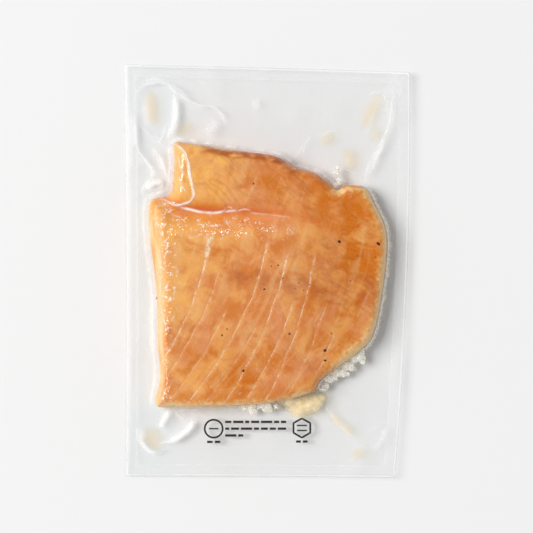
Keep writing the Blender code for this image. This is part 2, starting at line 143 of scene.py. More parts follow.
FINE_CREASES = (
    (((-48.6, 64.4), (-48.0, 58.2), (-45.2, 52.6)), 0.5, 0.8),
    (((-49.0, 53.8), (-47.4, 48.2), (-44.1, 43.1)), 0.55, 0.8),
    (((-52.2, 50.0), (-52.4, 44.6)), 0.5, 0.8),
    (((-25.0, 32.6), (-21.0, 35.4), (-18.6, 34.2)), 0.5, 0.7),
    (((-16.4, 33.2), (-12.0, 34.2), (-8.6, 33.4)), 0.45, 0.7),
    (((-10.0, 32.2), (2.0, 31.0), (13.0, 29.6)), 0.3, 0.8),
    (((-57.6, 35.6), (-51.0, 30.8), (-46.4, 29.8)), 0.45, 0.9),
    (((-42.0, 69.6), (-34.0, 69.6), (-26.0, 67.6), (-18.0, 66.4)), 0.5, 0.8),
    (((-38.0, 71.6), (-30.0, 71.2), (-22.0, 69.4)), 0.4, 0.7),
    (((20.3, 65.0), (22.0, 71.7), (25.3, 75.6)), 0.35, 0.9),
    (((28.7, 73.4), (34.3, 77.8), (40.0, 78.6)), 0.3, 0.9),
    (((12.0, 60.6), (17.6, 66.0), (20.6, 73.0)), 0.3, 0.8),
    (((30.0, 55.0), (36.0, 58.6), (44.0, 57.0), (50.6, 53.6)), 0.3, 0.8),
    (((55.6, 96.9), (60.6, 99.7), (65.6, 97.4), (67.9, 91.8), (66.2, 87.4)), 0.4, 1.2),
    (((-52.0, -77.4), (-49.0, -81.0), (-46.0, -82.6)), 0.7, 1.3),
    (((47.7, -96.3), (55.0, -99.1)), 0.35, 1.2),
    (((56.7, -90.2), (62.3, -86.2)), 0.3, 1.2),
    (((-71.0, 82.0), (-66.0, 76.4), (-60.6, 72.6)), 0.4, 1.0),
    (((-60.0, 66.0), (-57.0, 58.0), (-55.4, 50.4)), 0.5, 1.0),
    (((-62.6, 77.6), (-58.0, 70.6), (-54.0, 71.2)), 0.4, 0.9),
    (((-56.0, 83.0), (-57.6, 76.0), (-60.6, 70.0)), 0.4, 0.9),
)

# Soft sheen on slack film: (points, half width, strength)
SHEENS = (
    (((-40.5, -82.0), (-44.0, -88.0), (-49.5, -92.5), (-56.0, -95.6)), 2.0, 1.0),
    (((-54.6, -77.8), (-57.8, -83.0), (-60.0, -88.0)), 1.4, 0.95),
    (((-52.0, 98.0), (-51.2, 90.0), (-52.0, 82.0), (-54.0, 74.0)), 1.7, 0.7),
    (((-35.5, 76.5), (-31.0, 79.0), (-27.5, 85.0)), 3.0, 0.45),
    (((-75.5, 92.0), (-75.8, 70.0), (-76.0, 52.0)), 2.6, 0.45),
    (((-68.6, 45.2), (-63.0, 49.2), (-58.0, 48.6)), 1.4, 1.0),
    (((-67.5, 41.5), (-62.0, 42.8), (-57.5, 45.6)), 1.3, 0.8),
    (((-64.5, 70.0), (-60.0, 62.0), (-57.5, 54.0)), 1.2, 0.6),
    (((-6.5, 97.0), (-5.5, 90.0)), 2.0, 0.35),
    (((-71.5, 104.0), (-62.0, 107.0), (-50.0, 102.0), (-42.0, 95.0)), 1.2, 0.6),
    (((56.5, 51.5), (60.5, 62.0), (66.0, 76.0)), 0.8, 0.8),
    (((31.0, -71.0), (39.0, -82.0), (50.0, -93.0)), 2.4, 0.12),
    (((58.0, -100.5), (63.5, -95.0), (66.5, -86.0)), 1.2, 0.4),
    (((-70.5, -86.0), (-70.0, -95.0), (-64.5, -100.6), (-58.0, -100.0)), 0.8, 0.7),
    (((-65.0, -14.0), (-64.4, -32.0), (-64.0, -50.0)), 1.2, 0.35),
)

# Pockets that the film bulges over: (x, y, half length, half width, turn, height)
POCKETS = (
    (-63.7, 88.5, 15.5, 8.5, 90.0, 1.1),
    (-39.0, 84.0, 14.0, 7.0, -20.0, 0.8),
    (-68.0, 62.0, 12.0, 6.0, 80.0, 0.9),
    (-50.5, -86.0, 12.0, 7.0, 52.0, 1.4),
    (-65.2, -94.0, 8.0, 5.5, 115.0, 1.2),
    (61.0, 84.0, 17.0, 5.0, 62.0, 1.0),
    (47.4, 61.0, 6.0, 4.5, 120.0, 0.9),
    (52.0, -92.0, 15.0, 5.0, -45.0, 0.7),
)

# Crumbs of fat and the jelly, as the film covers them: (x, y, radius, height)
CRUMBS = (
    (17.5, -76.5, 6.5, 3.6), (26.5, -74.5, 6.0, 4.4), (13.0, -73.5, 4.5, 3.0),
    (51.8, -48.2, 3.6, 4.6), (47.0, -53.0, 2.8, 3.6), (42.6, -56.5, 3.0, 3.2),
    (37.6, -59.6, 2.4, 2.6), (33.0, -64.4, 2.2, 2.2), (-8.0, -76.8, 3.2, 2.6),
    (1.0, -76.0, 3.2, 2.8), (40.6, 50.2, 2.2, 4.0), (39.4, 54.4, 1.6, 2.8),
)

# Smaller crumbs that join them up
CRUMB_BITS = (
    (52.6, -44.6, 2.0, 3.4), (48.4, -49.2, 2.6, 3.8), (43.6, -53.0, 2.4, 3.4), (45.6, -57.2, 1.3, 2.2),
    (39.2, -56.4, 2.2, 3.2), (34.6, -60.6, 2.2, 2.8), (31.2, -65.6, 1.9, 2.4), (-3.4, -75.6, 1.8, 2.2),
    (-12.4, -76.2, 1.6, 2.0), (5.2, -75.4, 1.6, 2.2), (56.6, -40.0, 1.2, 2.4), (39.8, 57.6, 1.1, 2.0),
    (38.4, 47.8, 1.5, 3.0),
)

JELLY_BITS = ((22.0, -75.4, 6.2, 3.6), (8.6, -72.6, 3.4, 2.6), (30.4, -71.6, 3.2, 3.0))

# Dried brine between the films: (x, y, half length, half width, turn)
STAINS = (
    (-64.9, 91.0, 12.0, 5.0, 96.0), (-46.6, 79.4, 6.5, 5.4, 20.0), (57.4, 88.6, 12.0, 5.0, 62.0),
    (46.2, 62.0, 8.6, 5.8, 104.0), (60.4, 76.0, 5.4, 3.6, 70.0), (33.4, 73.6, 6.0, 4.4, 60.0),
    (-64.3, -93.6, 9.0, 7.0, 110.0), (40.6, -85.0, 11.5, 3.8, -46.0), (50.6, -102.0, 5.4, 4.6, 0.0),
)

# Pepper specks on the fish: (x, y, radius, how dark)
SPECKS = (
    (2.6, 2.6, 0.42, 0.8), (6.3, 3.2, 0.5, 0.9), (-1.5, -7.7, 0.38, 0.8), (-1.4, -10.0, 0.6, 1.0),
    (-21.9, -31.9, 0.4, 0.8), (-24.6, -35.3, 0.62, 0.6), (39.9, 16.2, 0.85, 1.0),
    (61.7, 15.1, 1.15, 1.0), (60.2, 7.6, 0.42, 0.9), (8.9, -3.9, 0.42, 0.7),
    (12.5, -34.5, 0.7, 0.3), (-13.0, -55.0, 0.85, 0.85), (32.1, -43.9, 0.8, 1.0),
    (32.2, -49.4, 0.75, 1.0), (5.0, -72.2, 0.42, 0.5), (-7.4, 48.2, 0.55, 0.55),
    (-61.0, -15.1, 0.7, 0.3), (17.6, -6.6, 0.35, 0.4), (20.4, -10.4, 0.35, 0.4),
    (23.4, -7.4, 0.32, 0.35), (15.4, -9.6, 0.3, 0.35), (35.6, -34.4, 0.45, 0.3),
    (50.2, 8.4, 0.35, 0.35), (46.4, -5.4, 0.35, 0.3), (30.6, -12.0, 0.3, 0.35),
)

# Printed marks, on the film in front of the fish
MARK_LINE = 0.8
RING_CENTRE = (-29.6, -88.0)
RING_RADIUS = 5.0
HEXAGON_CENTRE = (19.6, -87.6)
HEXAGON_RADIUS = 5.4
DASH_ROWS = ((-23.2, 10.8, -84.2), (-23.2, 10.8, -88.0), (-23.2, -12.0, -91.8))
DASH_HEIGHT = 1.3
DASH_LENGTHS = (3.4, 5.6, 2.2, 4.4, 6.2, 2.8, 3.8)
DASH_GAP = 1.1
CAPTIONS = ((-29.6, -95.4, 7.4), (19.6, -95.2, 6.4))
INK_HEIGHT = 0.05
INK_THICKNESS = 0.035

# Froth along the fish's outline: (x from, x to, y from, y to, width)
FRINGES = ((44.0, 80.0, -50.0, 47.6, 2.7), (27.0, 45.0, -66.0, -44.0, 1.3))
FRINGE_STEP = 0.6
FRINGE_INSET = 0.25
FRINGE_COLUMNS = 7
FRINGE_GAP = 0.12

# Gaps between the fish, the brine and the film
FILM_GAP = 0.25
FLESH_INSET = 0.4
FLESH_SEAM = 0.3
STAIN_TOP = 0.28
STAIN_BOTTOM = 0.16

# Small pieces: how uneven lumps are, the seeds of their random draws, and their numbers
ROUGHNESS = 0.6
CRUMB_SEED = 11
SPECK_SEED = 3
BUBBLE_SEED = 8
LUMPS_PER_CRUMB = 5
BUBBLE_RADII = (0.18, 0.42)
STAIN_SIDES = 48

# Edges steeper than this stay sharp, in degrees
FILM_SHARPNESS = 50.0
STAIN_SHARPNESS = 40.0

# How far the masks that hold a distance go
MASK_REACH = 20.0

# Ripples of the flesh, pleats of the film, and the length that noise round the fish runs over
RIPPLE_HEIGHT = 0.22
PLEAT_HEIGHT = 0.14
FISH_GIRTH = 520.0

# Spacing of the meshes' points
OUTLINE_STEP = 1.2
LINE_STEP = 1.1
MARK_STEP = 0.8
FISH_GRID = 0.85
FILM_GRID = 1.05
SHEET_GRID = 1.7
STAIN_GRID = 0.9
UNDER_SHEET_GRID = 5.0
UNDER_FISH_GRID = 12.0
FLESH_BASE_GRID = 4.0
GRID_CLEARANCE = 0.62
JELLY_VOXEL = 0.35

# Loops that the meshes follow, by how far inside the rim or the fish's outline they lie
SEAL_LOOPS = (0.5, 1.2, 1.9, 3.4, 5.0, 5.9, 6.5, 7.1, 8.2)
FILM_RINGS = (0.1, 0.4, 0.9, 1.6, -0.6, -1.3, -2.1, -3.0)
UNDER_RINGS = (-3.0, -1.5, 0.3, 1.0, 2.4, 4.2, 6.0)
WALL_RINGS = (0.05, 0.2, 0.5, 1.0, 1.7, 2.6)
FLESH_BASE_RINGS = (0.2, 0.7, 1.6, 3.0, 4.6, 6.2)

# The brown band that crosses the fish
BAND_LINE = ((-33.0, 1.5), (-3.8, -4.0), (18.6, -7.8), (43.8, -12.4), (58.0, -9.6))
BAND_HALF_WIDTH = 6.5

# The photograph's camera and light, and the floor. Places and sizes are in metres here,
# the lens and its sensor in millimetres, angles in degrees and the power in watts
CAMERA_PLACE = (-0.00014, 0.0025, 1.2)
CAMERA_LENS = 144.7
SENSOR_WIDTH = 36.0
LIGHT_DISTANCE = 9.0
LIGHT_AZIMUTH = 168.0
LIGHT_ELEVATION = 50.0
LIGHT_SIDE = 4.5
LIGHT_POWER = 722.0
SKY_HORIZON = 0.86
SKY_ZENITH = 0.13
FLOOR_ALBEDO = 0.89
FLOOR_SIZE = 6.0
FLOOR_HEIGHT = -0.0003

WHITE = (1.0, 1.0, 1.0, 1.0)


def ramp(value, low, high):
    """0 up to low, 1 from high on, and a smooth rise between them."""
    t = np.clip((value - low) / (high - low), 0.0, 1.0)
    return t * t * (3.0 - 2.0 * t)


def fall(value, low, high):
    """1 up to low, 0 from high on, and a smooth fall between them."""
    return 1.0 - ramp(value, low, high)


def bell(value, width):
    """1 at zero, falling away smoothly on both sides over about the given width."""
    return np.exp(-((value / width) ** 2))


def smooth_path(points, step, closed=False):
    """Points about a step apart along the Catmull-Rom curve through the given points."""
    knots = [np.array(p, float) for p in points]
    count = len(knots)
    spans = count if closed else count - 1
    path = []
    for i in range(spans):
        if closed:
            a, b, c, d = (knots[(i + k) % count] for k in (-1, 0, 1, 2))
        else:
            b, c = knots[i], knots[i + 1]
            a = knots[i - 1] if i > 0 else 2 * b - c
            d = knots[i + 2] if i + 2 < count else 2 * c - b
        pieces = max(1, round(float(np.linalg.norm(c - b)) / step))
        for k in range(pieces):
            t = k / pieces
            path.append(
                0.5 * (2 * b + (c - a) * t + (2 * a - 5 * b + 4 * c - d) * t**2
                       + (3 * b - a - 3 * c + d) * t**3)
            )
    if not closed:
        path.append(knots[-1])
    return np.array(path)


def bowed_outline(corners, bows, step):
    """The pouch's rim, clockwise: four sides between the corners, each a shallow arc."""
    path = []
    for i, corner in enumerate(corners):
        start = np.array(corner)
        end = np.array(corners[(i + 1) % len(corners)])
        side = end - start
        outwards = np.array((-side[1], side[0])) / np.linalg.norm(side)
        pieces = round(float(np.linalg.norm(side)) / step)
        for k in range(pieces):
            t = k / pieces
            path.append(start + side * t + outwards * bows[i] * 4 * t * (1 - t))
    return np.array(path)


def near(path, xy, closed=False):
    """Each point's distance to the path, its place along it from 0 to 1, and its side:
    1 to the left of the path's direction and -1 to the right."""
    starts = path
    ends = np.roll(path, -1, axis=0)
    if not closed:
        starts, ends = starts[:-1], ends[:-1]
    runs = ends - starts
    lengths = np.hypot(runs[:, 0], runs[:, 1])
    before = np.concatenate(([0.0], np.cumsum(lengths)[:-1]))
    best = np.full(len(xy), np.inf)
    along = np.zeros(len(xy))
    side = np.ones(len(xy))
    for start, run, length, passed in zip(starts, runs, lengths, before):
        offset = xy - start
        t = np.clip(offset @ run / max(length * length, 1e-9), 0.0, 1.0)
        gap = offset - t[:, None] * run
        distance = np.hypot(gap[:, 0], gap[:, 1])
        closer = distance < best
        best[closer] = distance[closer]
        along[closer] = (passed + t[closer] * length) / lengths.sum()
        turn = run[0] * offset[:, 1] - run[1] * offset[:, 0]
        side[closer] = np.where(turn[closer] >= 0, 1.0, -1.0)
    return best, along, side


def near_within(path, xy, reach):
    """As near, but only for points within reach of the path's box; others are far away."""
    low = path.min(axis=0) - reach
    high = path.max(axis=0) + reach
    close = ((xy > low) & (xy < high)).all(axis=1)
    distance = np.full(len(xy), 1e3)
    along = np.zeros(len(xy))
    side = np.ones(len(xy))
    if close.any():
        distance[close], along[close], side[close] = near(path, xy[close])
    return distance, along, side


def inside(loop, xy):
    """True for each point within the closed loop."""
    found = np.zeros(len(xy), bool)
    for (x0, y0), (x1, y1) in zip(loop, np.roll(loop, -1, axis=0)):
        spans = (y0 > xy[:, 1]) != (y1 > xy[:, 1])
        rise = (y1 - y0) if y1 != y0 else 1e-9
        found ^= spans & (xy[:, 0] < (x1 - x0) * (xy[:, 1] - y0) / rise + x0)
    return found


def shifted(loop, depth):
    """A clockwise loop moved inwards by depth, or outwards if depth is negative, without
    the points that would then lie too near it."""
    tangent = np.roll(loop, -1, axis=0) - np.roll(loop, 1, axis=0)
    tangent /= np.hypot(tangent[:, 0], tangent[:, 1])[:, None]
    inwards = np.stack((tangent[:, 1], -tangent[:, 0]), axis=1)
    moved = loop + inwards * depth
    return moved[near(loop, moved, closed=True)[0] > 0.97 * abs(depth)]


def leftwards(path):
    """The unit direction to the left of a path at each of its points."""
    run = np.gradient(path, axis=0)
    run /= np.hypot(run[:, 0], run[:, 1])[:, None]
    return np.stack((-run[:, 1], run[:, 0]), axis=1)


def wobble(u, v, size, seed):
    """Smooth noise from -1 to 1 that varies over about the given size."""
    places = zip(np.asarray(u) / size, np.asarray(v) / size)
    return np.array([noise.noise((a, b, 7.31 * seed)) for a, b in places])


POUCH_LOOP = bowed_outline(POUCH_CORNERS, POUCH_BOWS, OUTLINE_STEP)
FISH_LOOP = smooth_path(FISH_OUTLINE, OUTLINE_STEP, closed=True)
FLESH_LOOP = shifted(FISH_LOOP, FLESH_INSET)
FOLD_PATH = smooth_path(FOLD_LINE, LINE_STEP)
CREASE_PATHS = [(smooth_path(p, LINE_STEP), h, w) for p, h, w in CREASES + FINE_CREASES]


class Places:
    """Points of the plane, with what the height functions need to know of each."""

    def __init__(self, xy):
        self.xy = xy
        self.x, self.y = xy[:, 0], xy[:, 1]
        distance, self.round, _ = near(FISH_LOOP, xy, closed=True)
        self.depth = np.where(inside(FISH_LOOP, xy), distance, -distance)
        self.to_rim = near(POUCH_LOOP, xy, closed=True)[0]
        self.left = ramp(-self.x, 38.0, 58.0)
        fold, self.fold_along, fold_side = near(FOLD_PATH, xy)
        self.fold = fold * fold_side

    def wobble(self, size, seed):
        """Smooth noise from -1 to 1 over the plane."""
        return wobble(self.x, self.y, size, seed)


def flake_lean(y):
    """How far a flake line has moved to the left where it crosses y."""
    down = FLAKE_DATUM_Y - y
    return FLAKE_LEAN * down + FLAKE_CURVE * down * np.abs(down)


def flake_line(flake_x, lean, y):
    """The x at which a flake line crosses y."""
    waver = FLAKE_WAVER * wobble(y, np.full(len(y), 3.1 * flake_x), 7.0, 12)
    return flake_x - lean * flake_lean(y) + waver


def flake_grooves(at):
    """Depth of the grooves that mark the flakes."""
    groove = np.zeros(len(at.xy))
    for flake_x, far_y, lean, _, _ in FLAKES:
        across = np.abs(at.x - flake_line(flake_x, lean, at.y))
        fade = ramp(far_y - at.y, 0.0, FLAKE_FADE)
        groove = np.maximum(groove, fade * (1.0 - across / FLAKE_BANK))
    return FLAKE_GROOVE * np.clip(groove, 0.0, 1.0) * ramp(at.depth, 2.0, FLAKE_EDGE_GAP)


def fold_relief(at):
    """What the fold adds to the upper face: its valley, the crest and the lower lobe."""
    fading = fall(at.fold_along, 0.15, 1.0)
    reach = np.where(at.fold > 0, FOLD_FAR_REACH, FOLD_NEAR_REACH)
    valley = FOLD_DEPTH * fading * bell(at.fold, reach)
    lobe = LOBE_DROP * ramp(at.fold, 0.0, 14.0) * fall(at.fold_along, 0.55, 1.0)
    crest = CREST_RISE * fading * bell(at.fold + CREST_OFFSET, CREST_REACH)
    return crest - valley - lobe


def upper_face(at):
    """Height of the fish's upper face, before its edges round over."""
    falls = RIGHT_FALL * ramp(at.x, 5.0, 66.0) + FRONT_FALL * ramp(-at.y, 20.0, 76.0)
    swell = SWELL * np.sin(at.x / 17.0 + 0.6) * np.cos(at.y / 21.0)
    return FISH_HEIGHT - falls + swell + fold_relief(at)


def sheet_middle(at):
    """Height of the middle of the sheet that surrounds the fish."""
    rim = RIM_HEIGHT + RIM_TILT * at.x / 80.0
    rim = rim + SHEET_WAVE * np.sin(at.x / 23.0 + 1.1) * np.cos(at.y / 31.0 - 0.4)
    near_fish = np.exp(-np.maximum(-at.depth, 0.0) / DROOP_LENGTH)
    return rim + (SEAM_HEIGHT - rim) * near_fish


def crumb_relief(at):
    """Height of the crumbs and the jelly above the sheet."""
    height = np.zeros(len(at.xy))
    for x, y, radius, rise in CRUMBS:
        share = np.hypot(at.x - x, at.y - y) / radius
        height = np.maximum(height, rise * np.sqrt(np.clip(1.0 - share**2, 0.0, 1.0)))
    return height


def pocket_relief(at):
    """Height that the pockets add to the sheet."""
    height = np.zeros(len(at.xy))
    for x, y, half_length, half_width, turn, rise in POCKETS:
        c, s = math.cos(math.radians(turn)), math.sin(math.radians(turn))
        dx, dy = at.x - x, at.y - y
        share = np.hypot((dx * c + dy * s) / half_length, (dy * c - dx * s) / half_width)
        height = np.maximum(height, rise * fall(share, 0.0, 1.0))
    return height


def crease_taper(along):
    """How much of its height and width a crease has, by its place along it."""
    return ramp(along, -0.05, 0.2) * fall(along, 0.8, 1.05)


def crease_relief(at):
    """Height of the creases in the film, each tapering towards its ends."""
    height = np.zeros(len(at.xy))
    for path, rise, half_width in CREASE_PATHS:
        distance, along, _ = near_within(path, at.xy, half_width + 1.0)
        taper = crease_taper(along)
        share = np.clip(distance / (half_width * np.maximum(taper, 0.1)), 0.0, 1.0)
        height = np.maximum(height, CREASE_SHARE * rise * taper * (1.0 - share) ** 2)
    return height


def crease_glow(at):
    """Painted highlights along the film's creases: how white the film is painted along them, uneven
    from place to place.
    """
    glow = np.zeros(len(at.xy))
    patchy = 0.75 + 0.5 * at.wobble(5.0, 35) + 0.4 * at.wobble(1.8, 37)
    on_fish = 0.7 + 0.3 * ramp(at.depth, -1.0, 1.0)
    for path, rise, half_width in CREASE_PATHS:
        distance, along, _ = near_within(path, at.xy, half_width + 2.0)
        strength = min(1.4, 1.4 * rise) * crease_taper(along) * on_fish
        glow = np.maximum(glow, strength * bell(distance, 0.25 + 0.25 * half_width))
    return np.clip(glow * patchy, 0.0, 1.0)


def sheen(at):
    """Soft white sheen on the slack film round the fish."""
    white = np.zeros(len(at.xy))
    for points, half_width, strength in SHEENS:
        path = smooth_path(points, 2.0)
        distance, along, _ = near_within(path, at.xy, 3 * half_width)
        ends = ramp(along, 0.0, 0.25) * fall(along, 0.75, 1.0)
        white = np.maximum(white, strength * ends * bell(distance, half_width))
    return white * ramp(-at.depth, 0.0, 1.5)


def seal_relief(at):
    """The pressed seal along the rim: a step down, with a bead along its inner edge."""
    step = -SEAL_STEP * fall(at.to_rim, SEAL_WIDTH - 0.8, SEAL_WIDTH)
    bead = SEAL_BEAD * fall(np.abs(at.to_rim - SEAL_WIDTH), 0.0, SEAL_BEAD_WIDTH)
    return step + bead


def wall_rounding(at, inset):
    """0 at the fish's outline and 1 where its upper face is level, measured from inset."""
    reach = WALL_REACH + at.left * LEFT_WALL_EXTRA * ramp(at.y, -75.0, 35.0)
    power = SQUARE_WALL + (BEVELLED_WALL - SQUARE_WALL) * at.left
    share = np.clip((at.depth - inset) / reach, 0.0, 1.0)
    return (1.0 - (1.0 - share) ** power) ** (1.0 / power)


def fibres(at):
    """Coordinates along and across the fibres, which bend a little from place to place."""
    bend = 7.0 * at.wobble(42.0, 61)
    return 0.82 * at.x - 0.57 * at.y, 0.57 * at.x + 0.82 * at.y + bend


def ripples(at):
    """Low ripples of the flesh along its fibres, which the film takes on as well."""
    along, across = fibres(at)
    upper = ramp(at.fold, -4.0, 4.0)
    right = ramp(at.x, 12.0, 45.0) * fall(-at.y, 10.0, 40.0)
    coarse = wobble(along / 3.0, across, 6.0, 62) + 0.5 * wobble(along / 2.2, across, 2.6, 63)
    upper = upper * ramp(at.x, -48.0, -40.0)
    return RIPPLE_HEIGHT * np.maximum(upper, 0.8 * right) * coarse * ramp(at.depth, 1.0, 5.0)


def film_detail(at):
    """Small unevenness of the film: slack in the margins and pleats round the fish."""
    slack = ramp(-at.depth, 3.0, 14.0) * ramp(at.to_rim, 5.0, 14.0)
    waves = 0.16 * at.wobble(24.0, 3) + 0.07 * at.wobble(9.0, 5)
    around = at.round * FISH_GIRTH
    pleats = wobble(around, at.depth / 5.0, 2.2, 9) + 0.5 * wobble(around, at.depth / 4.0, 1.1, 11)
    return slack * waves + PLEAT_HEIGHT * bell(at.depth + 1.2, 2.2) * pleats + ripples(at)


def fillet(at):
    """Height of the film's fillet round the fish, over or under the sheet."""
    outside = np.maximum(-at.depth, 0.0)
    return FILLET_HEIGHT * np.clip(1.0 - outside / FILLET_REACH, 0.0, 1.0) ** 2


def base_rounding(depth):
    """1 at the edge of the base, falling to 0 where the base is level."""
    share = np.clip(depth / BASE_REACH, 0.0, 1.0)
    return 1.0 - (1.0 - (1.0 - share) ** SQUARE_WALL) ** (1.0 / SQUARE_WALL)


def film_top(at):
    """Height of the pouch's upper film."""
    sheet = sheet_middle(at) + SHEET_THICKNESS / 2
    crumbs = crumb_relief(at)
    lumps = np.maximum(pocket_relief(at), np.maximum(fillet(at), crumbs))
    margin = sheet + seal_relief(at) + lumps
    foot = sheet + FILLET_HEIGHT
    body = foot + (upper_face(at) - foot) * wall_rounding(at, 0.0) - flake_grooves(at)
    body = np.maximum(body, sheet + crumbs)
    return np.where(at.depth > 0, body, margin) + crease_relief(at) + film_detail(at)


def film_bottom(at):
    """Height of the pouch's lower film: flat on the floor under the fish."""
    sheet = sheet_middle(at) - SHEET_THICKNESS / 2
    under_fish = (sheet - FILLET_HEIGHT) * base_rounding(at.depth)
    return np.where(at.depth > 0, under_fish, sheet - fillet(at))


def flesh_top(at):
    """Height of the fish's upper surface, just under the film."""
    foot = SEAM_HEIGHT + FLESH_SEAM
    wander = at.depth * 2.4 + 0.5 * at.wobble(14.0, 21)
    layers = 0.22 * wobble(wander, at.y / 26.0, 1.6, 22)
    bevel = at.left * fall(at.depth, 6.0, 11.0) * ramp(at.depth, 0.4, 1.4)
    tissue = ripples(at) + 0.04 * at.wobble(1.9, 24)
    face = upper_face(at) - flake_grooves(at) - FILM_GAP + tissue
    return foot + (face - foot) * wall_rounding(at, FLESH_INSET) + layers * bevel


def flesh_bottom(at):
    """Height of the fish's lower surface, just over the film."""
    edge = SEAM_HEIGHT - FLESH_SEAM - FILM_GAP
    return FILM_GAP + edge * base_rounding(at.depth - FLESH_INSET)


def hexagonal_grid(low, high, spacing):
    """Points of a triangular grid over a rectangle."""
    rows = []
    row_height = spacing * math.sqrt(3) / 2
    for i, y in enumerate(np.arange(low[1], high[1], row_height)):
        x = np.arange(low[0] + (i % 2) * spacing / 2, high[0], spacing)
        rows.append(np.stack((x, np.full(len(x), y)), axis=1))
    return np.concatenate(rows)


def triangulated(rim, loops=(), lines=(), grids=()):
    """A flat triangle mesh within the rim. Its edges follow the loops and lines, and grid
    points fill the rest: each grid is (points, spacing)."""
    points = [rim]
    edges = []
    start = 0
    for path, closed in [(rim, True)] + [(p, True) for p in loops] + [(p, False) for p in lines]:
        if path is not rim:
            points.append(path)
        count = len(path)
        ends = count if closed else count - 1
        edges += [(start + i, start + (i + 1) % count) for i in range(ends)]
        start += count
    fixed = np.concatenate(points)
    tree = kdtree.KDTree(len(fixed))
    for i, (x, y) in enumerate(fixed):
        tree.insert((x, y, 0.0), i)
    tree.balance()
    for grid, spacing in grids:
        within = grid[inside(rim, grid)]
        gaps = np.array([tree.find((x, y, 0.0))[2] for x, y in within])
        points.append(within[gaps > GRID_CLEARANCE * spacing])
    flat = [Vector(p) for p in np.concatenate(points)]
    made = delaunay_2d_cdt(flat, edges, [], 0, 1e-5, False)
    xy = np.array([tuple(v) for v in made[0]])
    faces = np.array(made[2])
    return xy, faces[inside(rim, xy[faces].mean(axis=1))]


def on_rim(xy, rim):
    """The index in xy of each of the rim's points."""
    return [int(np.hypot(*(xy - p).T).argmin()) for p in rim]


def closed_body(name, rim, top, bottom):
    """One closed mesh from an upper and a lower surface, each (xy, faces, z), that share
    the points of the rim. The upper surface's points come first."""
    top_xy, top_faces, top_z = top
    bottom_xy, bottom_faces, bottom_z = bottom
    count = len(top_xy)
    points = np.concatenate(
        (np.column_stack((top_xy, top_z)), np.column_stack((bottom_xy, bottom_z)))
    )
    upper, lower = on_rim(top_xy, rim), on_rim(bottom_xy, rim)
    faces = [tuple(f) for f in turned_up(top_xy, top_faces)]
    faces += [tuple(count + i for i in reversed(f)) for f in turned_up(bottom_xy, bottom_faces)]
    for i, a in enumerate(upper):
        j = (i + 1) % len(upper)
        faces.append((a, upper[j], count + lower[j], count + lower[i]))
    mesh = bpy.data.meshes.new(name)
    mesh.from_pydata(points * MILLIMETRE, [], faces)
    mesh.validate()
    return placed(name, mesh)


def placed(name, mesh):
    """The object of a smooth-shaded mesh, in the scene."""
    mesh.shade_smooth()
    piece = bpy.data.objects.new(name, mesh)
    bpy.context.scene.collection.objects.link(piece)
    return piece


def turned_up(xy, faces):
    """The triangles, each turned so that it faces up."""
    a, b, c = xy[faces[:, 0]], xy[faces[:, 1]], xy[faces[:, 2]]
    area = (b[:, 0] - a[:, 0]) * (c[:, 1] - a[:, 1]) - (b[:, 1] - a[:, 1]) * (c[:, 0] - a[:, 0])
    faces = faces.copy()
    faces[area < 0] = faces[area < 0][:, ::-1]
    return faces


def set_mask(piece, name, values, rest=0.0):
    """Stores one number for each point. Points past the end of values get rest."""
    mask = piece.data.attributes.new(name, "FLOAT", "POINT")
    filled = np.full(len(piece.data.vertices), rest, np.float32)
    filled[: len(values)] = values
    mask.data.foreach_set("value", filled)


def crease_lines():
    """Each crease's ridge and lines along its flanks."""
    lines = []
    for path, _, half_width in CREASE_PATHS:
        taper = crease_taper(np.linspace(0.0, 1.0, len(path)))
        across = leftwards(path) * (half_width * taper)[:, None]
        lines.append(path)
        for share in (0.33, 0.66, 1.0):
            lines += [(path + across * share)[1:-1], (path - across * share)[1:-1]]
    return lines


def flake_lines():
    """The middle of each flake line, where it lies well within the fish."""
    lines = []
    for flake_x, far_y, lean, _, _ in FLAKES:
        y = np.arange(-75.0, far_y, LINE_STEP)
        line = np.stack((flake_line(flake_x, lean, y), y), axis=1)
        lines.append(line[Places(line).depth > 1.5])
    return lines


def fish_grid(spacing, sign):
    """Grid points on the fish if sign is 1, or off it if sign is -1."""
    low, high = POUCH_LOOP.min(axis=0), POUCH_LOOP.max(axis=0)
    grid = hexagonal_grid(low, high, spacing)
    return grid[inside(FISH_LOOP, grid) == (sign > 0)]


def make_film():
    """The pouch: an upper and a lower film that meet at the rim."""
    loops = [FISH_LOOP]
    loops += [shifted(POUCH_LOOP, depth) for depth in SEAL_LOOPS]
    loops += [shifted(FISH_LOOP, depth) for depth in FILM_RINGS]
    grids = [(fish_grid(FILM_GRID, 1), FILM_GRID), (fish_grid(SHEET_GRID, -1), SHEET_GRID)]
    xy, faces = triangulated(POUCH_LOOP, loops, crease_lines(), grids)
    at = Places(xy)
    under_loops = [FISH_LOOP] + [shifted(FISH_LOOP, depth) for depth in UNDER_RINGS]
    under_grids = [(fish_grid(UNDER_SHEET_GRID, -1), UNDER_SHEET_GRID),
                   (fish_grid(UNDER_FISH_GRID, 1), UNDER_FISH_GRID)]
    under_xy, under_faces = triangulated(POUCH_LOOP, under_loops, [], under_grids)
    film = closed_body(
        "clear_pouch", POUCH_LOOP,
        (xy, faces, film_top(at)), (under_xy, under_faces, film_bottom(Places(under_xy))),
    )
    film.data.set_sharp_from_angle(angle=math.radians(FILM_SHARPNESS))
    film_masks(film, at)
    return film


